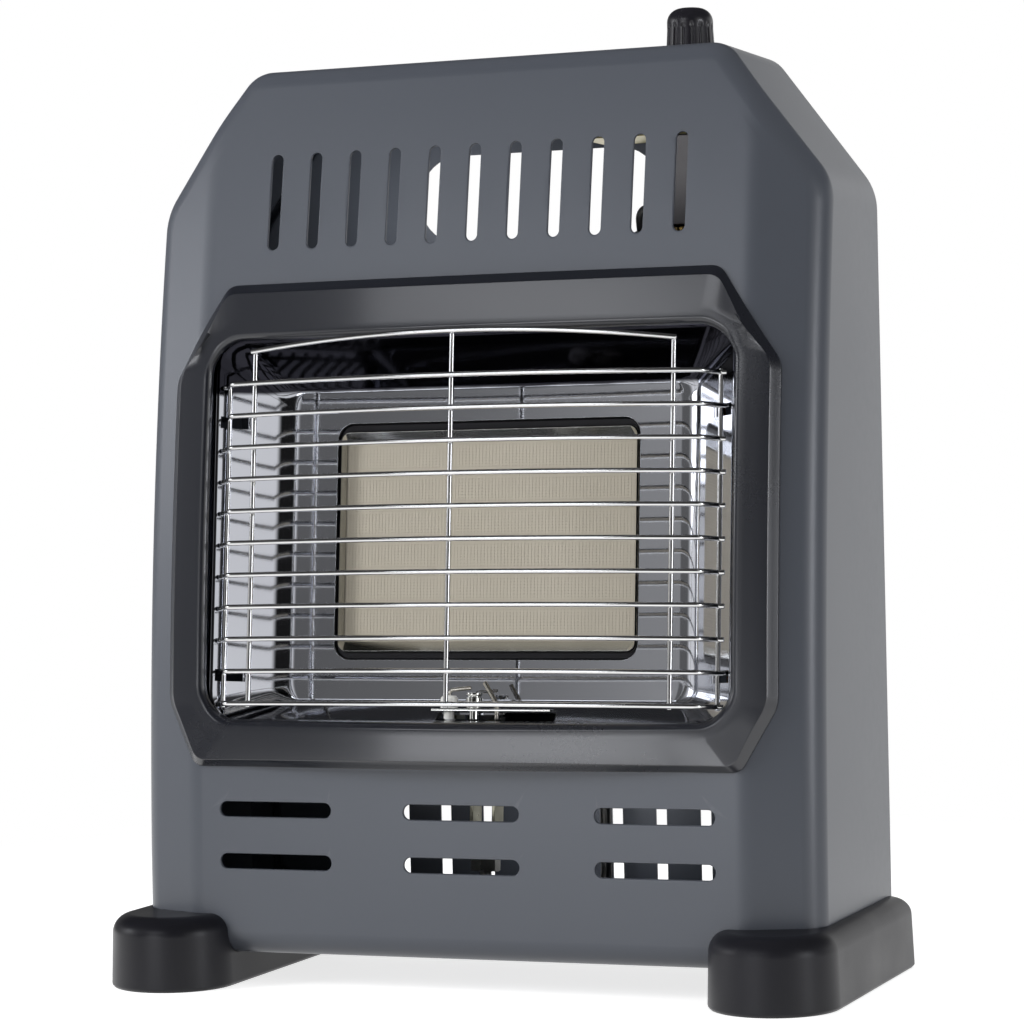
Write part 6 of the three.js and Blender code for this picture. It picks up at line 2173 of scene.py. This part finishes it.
@dataclass
class Pipes:
    """The gas pipes and the leads behind the burner."""

    fall: float = 30.0
    back: float = 44.0
    aside: float = 30.0

    def unit(self, x: float, y: float, z: float) -> tuple[float, float, float]:
        """A point of the leaning unit in the cabinet's directions."""
        return tuple(float(v) for v in in_unit(Form(np.array([[x, y, z]]), [])).points[0])

    def lead(self, start: list[Point], x: float, y: float, cross: float, end_x: float) -> list[Point]:
        """Route of a lead that drops beside the burner and climbs into its piece.

        Args:
            start: Its first points, down from where it leaves the valve or the igniter.
            x: Where it drops.
            y: Depth at which it drops.
            cross: Height at which it crosses under the burner.
            end_x: Where it ends, in the unit's directions.

        Returns:
            The route's corners.
        """
        pilot, fall = Pilot(), self.fall
        return [
            *start,
            (x, y, start[-1][2] - fall),
            (x, y, cross + fall / 2),
            (x - fall, y - fall / 2, cross),
            self.unit(end_x, pilot.y, cross - UNIT_Z),
            self.unit(end_x, pilot.y, pilot.stem - GAP),
        ]

    def burner_route(self) -> list[Point]:
        """Route of the pipe from the valve behind the burner to the injector.

        Returns:
            The route's corners.
        """
        valve, burner = Valve(), Burner()
        x, y, z = valve.x, valve.y + 4, valve.body_low + 8
        nut_top = burner.strap - GAP
        return [
            (x - 14.3, y, z),
            (x - 25, y, z),
            (x - 25, self.back, z - 28),
            (self.aside, self.back, 230),
            (self.aside, self.back, 30),
            self.unit(*burner.mixer, nut_top - 26),
            self.unit(*burner.mixer, nut_top - 3),
        ]

    def build(self) -> None:
        """Makes the pipes and leads."""
        valve, pilot = Valve(), Pilot()
        burner = tube(soft_path(self.burner_route(), 12), 2.5, 20)
        piece("burner_pipe", burner, TUBE_STEEL)
        x, y, z = valve.x + 6, valve.y - 12.3, valve.body_low + 16
        out = [(x, y, z), (x, y - 8, z)]
        magnet = [(valve.x, valve.y, valve.magnet_low - down) for down in (GAP, 8)]
        piezo = [(valve.piezo_x, valve.y, valve.piezo_low - down) for down in (GAP, 8)]
        routes = (
            ("pilot_pipe", self.lead(out, 90, 8, 92, pilot.burner_x), 1.6, TUBE_STEEL),
            ("thermocouple_lead", self.lead(magnet, 98, 8, 98, pilot.probe_x), 1.1, COPPER),
            ("ignition_lead", self.lead(piezo, 106, 8, 86, pilot.ceramic_x), 1.1, SLEEVE),
        )
        for name, route, radius, finish in routes:
            piece(name, tube(soft_path(route, 8), radius, 14), finish)


# ------------------------------------------------------------------ studio


def facing(right: Point, up: Point, ahead: Point, place: Point) -> Matrix:
    """Placing of a camera or lamp, which look along their own -Z.

    Args:
        right: Its right, as a unit direction.
        up: Its up, likewise.
        ahead: Where it looks, likewise.
        place: Where it stands, in metres.

    Returns:
        The placing.
    """
    r, u, f, p = right, up, ahead, place
    return Matrix((
        (r[0], u[0], -f[0], p[0]), (r[1], u[1], -f[1], p[1]), (r[2], u[2], -f[2], p[2]), (0, 0, 0, 1),
    ))


def look_at(place: Point, aim: Point) -> Matrix:
    """Placing of a lamp that points at a place.

    Args:
        place: Where it stands, in metres.
        aim: Where it points.

    Returns:
        The placing.
    """
    p, a = np.array(place, float), np.array(aim, float)
    ahead = (a - p) / np.linalg.norm(a - p)
    right = np.cross(ahead, [0, 0, 1])
    right /= np.linalg.norm(right)
    return facing(right, np.cross(right, ahead), ahead, p)


@dataclass(frozen=True)
class Lamp:
    """A soft rectangular lamp that points at the heater's middle unless it has another aim."""

    name: str
    place: tuple[float, float, float]
    size: tuple[float, float]
    power: float
    lights: bool = True
    mirrored: bool = True
    tint: tuple[float, float, float] = (1.0, 1.0, 1.0)
    aim: tuple[float, float, float] = (0.0, 0.0, 0.2)

    def build(self) -> None:
        """Adds the lamp to the scene, pointed at its aim."""
        data = bpy.data.lights.new(self.name, "AREA")
        data.shape = "RECTANGLE"
        data.size, data.size_y = self.size
        data.energy = self.power
        data.color = self.tint
        lamp = bpy.data.objects.new(self.name, data)
        lamp.matrix_world = look_at(self.place, self.aim)
        lamp.visible_camera = False
        lamp.visible_diffuse = self.lights
        lamp.visible_glossy = self.mirrored
        bpy.context.scene.collection.objects.link(lamp)


def bearing(turn: float, rise: float) -> Point:
    """Direction seen from the heater, where 0 and 0 is straight in front of it.

    Args:
        turn: Degrees to the right, seen from in front.
        rise: Degrees above the level.

    Returns:
        The unit direction.
    """
    a, b = math.radians(turn), math.radians(rise)
    return math.sin(a) * math.cos(b), -math.cos(a) * math.cos(b), math.sin(b)


def gloss_card(
    name: str, turn: float, rise: float, distance: float, size: tuple[float, float], level: float,
) -> Lamp:
    """A soft card that shows in gloss only.

    Args:
        name: Its name.
        turn: Its bearing, in degrees to the right.
        rise: Its bearing, in degrees above the level.
        distance: Distance in metres from the heater's middle.
        size: Width and height in metres.
        level: How many times as bright as white it shows.

    Returns:
        The card as a lamp.
    """
    x, y, z = (distance * part for part in bearing(turn, rise))
    power = level * math.pi * size[0] * size[1]
    return Lamp(name, (x, y, z + 0.2), size, power, lights=False, tint=(0.93, 0.95, 1.0))


def inner_lamp(name: str, x: float, z: float, power: float) -> Lamp:
    """A small lamp in the cabinet for the light that its windows let in, pointed at the rear panel."""
    return Lamp(name, (x, 0.0, z), (0.05, 0.03), power, mirrored=False, aim=(x, 0.1, z))


@dataclass(frozen=True)
class Curtain:
    """A dark curtain of the studio, which only mirror rays show, in a bearing from the heater."""

    towards: tuple[float, float]
    inner: float
    outer: float
    level: float


@dataclass
class Studio:
    """Pale floor, soft lamps, dark ceiling and curtains that only mirrors show, and the camera."""

    camera: tuple[float, float, float] = (0.5229, -1.3121, 0.2193)
    right: tuple[float, float, float] = (0.93065, 0.36520, -0.02274)
    up: tuple[float, float, float] = (0.01489, 0.02429, 0.99959)
    forward: tuple[float, float, float] = (-0.3656, 0.9306, -0.0172)
    lens: float = 119.0
    sensor: float = 36.0
    clip: tuple[float, float] = (0.05, 50.0)
    lamps: tuple[Lamp, ...] = (
        Lamp("key", (-1.75, -1.3, 1.1), (0.9, 1.1), 40.0, mirrored=False),
        Lamp("fill", (2.1, -0.75, 0.9), (0.8, 1.0), 11.0, mirrored=False),
        Lamp("top", (0.1, 0.3, 1.9), (1.6, 1.2), 4.0, mirrored=False),
        gloss_card("left_card", -71, 13, 2.4, (0.75, 0.5), 4.2),
        gloss_card("front_card", -17, 22.5, 2.4, (1.15, 0.32), 4.0),
        gloss_card("low_card", -15, -3, 1.6, (0.7, 0.16), 6.0),
        gloss_card("right_card", 74, 4, 2.4, (0.4, 1.0), 9.0),
        inner_lamp("upper_inside", -0.045, 0.325, 0.05),
        inner_lamp("lower_inside", 0.02, 0.075, 0.035),
        inner_lamp("valve_inside", 0.075, 0.345, 0.03),
    )
    ambient: float = 0.55
    ceiling: tuple[float, float] = (14.0, 27.0)
    ceiling_level: float = 0.05
    curtains: tuple[Curtain, ...] = (
        Curtain((-37.0, 8.0), 11.0, 26.0, 0.16),
        Curtain((21.0, 6.0), 21.0, 35.0, 0.015),
        Curtain((96.0, 0.0), 20.0, 30.0, 0.15),
        Curtain((-128.0, 5.0), 25.0, 40.0, 0.2),
    )
    floor_colour: float = 0.6
    floor_lift: float = 0.75
    floor_white: tuple[float, float] = (0.30, 0.62)
    floor_radius: float = 4000.0
    floor_depth: float = 6.0

    def build(self) -> None:
        """Sets up the view, the floor, the lamps and the surroundings."""
        scene = bpy.context.scene
        scene.view_settings.view_transform = "Standard"
        data = bpy.data.cameras.new("camera")
        data.lens = self.lens
        data.sensor_width = self.sensor
        data.clip_start, data.clip_end = self.clip
        eye = bpy.data.objects.new("camera", data)
        eye.matrix_world = facing(self.right, self.up, self.forward, self.camera)
        scene.collection.objects.link(eye)
        scene.camera = eye
        self.floor()
        self.surroundings()
        for lamp in self.lamps:
            lamp.build()

    def seen_directly(self, tree: bpy.types.NodeTree) -> tuple[bpy.types.NodeSocket, bpy.types.NodeSocket]:
        """Tells the rays that see a thing from those that are lit by it.

        Args:
            tree: The tree that asks.

        Returns:
            A socket that is one for a view, mirror or glass ray, and one that is one for a mirror ray.
        """
        path = add_node(tree, "ShaderNodeLightPath").outputs
        one = add_sum(tree, "MAXIMUM", path["Is Camera Ray"], path["Is Transmission Ray"])
        return add_sum(tree, "MAXIMUM", one, path["Is Glossy Ray"]), path["Is Glossy Ray"]

    def soft_step(self, tree: bpy.types.NodeTree, value: object, **ends: float) -> bpy.types.NodeSocket:
        """Returns the socket of a value that passes softly between the ends of two ranges."""
        made = add_node(tree, "ShaderNodeMapRange", {"interpolation_type": "SMOOTHSTEP"}, Value=value, **ends)
        return made.outputs[0]

    def floor(self) -> None:
        """A pale floor that keeps the shadow and turns plain white away from the heater."""
        turn = np.linspace(0, 2 * math.pi, 64, endpoint=False)
        disc = np.column_stack([self.floor_radius * np.cos(turn), self.floor_radius * np.sin(turn)])
        levels = [in_plan(disc, z) for z in (-self.floor_depth, 0.0)]
        thing = bpy.data.objects.new("floor", mesh_of(loft(levels), "floor"))
        made = bpy.data.materials.new("floor_finish")
        made.use_nodes = True
        tree = made.node_tree
        shader = tree.nodes["Principled BSDF"]
        shader.inputs["Roughness"].default_value = 0.9
        shader.inputs["Specular IOR Level"].default_value = 0.2
        shader.inputs["Base Color"].default_value = (*(self.floor_colour,) * 3, 1)
        shader.inputs["Emission Color"].default_value = WHITE
        seen, _ = self.seen_directly(tree)
        tree.links.new(add_sum(tree, "MULTIPLY", seen, self.floor_lift), shader.inputs["Emission Strength"])
        place = add_node(tree, "ShaderNodeNewGeometry").outputs["Position"]
        away = add_node(tree, "ShaderNodeVectorMath", {"operation": "LENGTH"}, i0=place).outputs["Value"]
        near, far = self.floor_white
        share = add_sum(tree, "MULTIPLY", self.soft_step(tree, away, From_Min=near, From_Max=far), seen)
        white = add_node(tree, "ShaderNodeEmission", Color=WHITE, Strength=1.0)
        mixed = add_node(tree, "ShaderNodeMixShader", i0=share, i1=shader.outputs[0], i2=white.outputs[0])
        tree.links.new(mixed.outputs[0], tree.nodes["Material Output"].inputs["Surface"])
        thing.data.materials.append(made)
        bpy.context.scene.collection.objects.link(thing)
        thing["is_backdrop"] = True

    def surroundings(self) -> None:
        """White surroundings, softer as light, with a dark ceiling and dark curtains for mirrors."""
        world = bpy.data.worlds.new("studio")
        bpy.context.scene.world = world
        world.use_nodes = True
        tree = world.node_tree
        back = tree.nodes["Background"]
        back.inputs["Color"].default_value = WHITE
        seen, mirrored = self.seen_directly(tree)
        level = add_node(tree, "ShaderNodeMapRange", Value=seen, To_Min=self.ambient, To_Max=1.0).outputs[0]
        ray = add_node(tree, "ShaderNodeTexCoord").outputs["Generated"]
        height = add_node(tree, "ShaderNodeSeparateXYZ", i0=ray).outputs["Z"]
        low, high = (math.sin(math.radians(a)) for a in self.ceiling)
        light = self.soft_step(
            tree, height, From_Min=low, From_Max=high, To_Min=1.0, To_Max=self.ceiling_level,
        )
        for curtain in self.curtains:
            inner, outer = (math.cos(math.radians(a)) for a in (curtain.inner, curtain.outer))
            towards = bearing(*curtain.towards)
            near = add_node(tree, "ShaderNodeVectorMath", {"operation": "DOT_PRODUCT"}, i0=ray, i1=towards)
            past = self.soft_step(
                tree, near.outputs["Value"], From_Min=outer, From_Max=inner, To_Min=1.0, To_Max=curtain.level,
            )
            light = add_sum(tree, "MULTIPLY", light, past)
        shown = add_node(tree, "ShaderNodeMix", {"data_type": "FLOAT"}, i0=mirrored, i2=1.0, i3=light)
        tree.links.new(add_sum(tree, "MULTIPLY", level, shown.outputs[0]), back.inputs["Strength"])


def main() -> None:
    """Builds the studio and the heater's sub-assemblies in order."""
    logging.basicConfig(level=logging.INFO, format="%(name)s: %(message)s")
    parts = (
        Studio(), Cover(), RearPanel(), Feet(), Bezel(), Reflector(), Burner(), Guard(), Pilot(), Valve(),
        Inlet(), Pipes(),
    )
    for part in parts:
        part.build()
    sizes = {"cad": CAD_BOX, "visual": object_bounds()}
    {key: [[float(v) for v in corner] for corner in box] for key, box in sizes.items()}


if __name__ == "__main__":
    main()
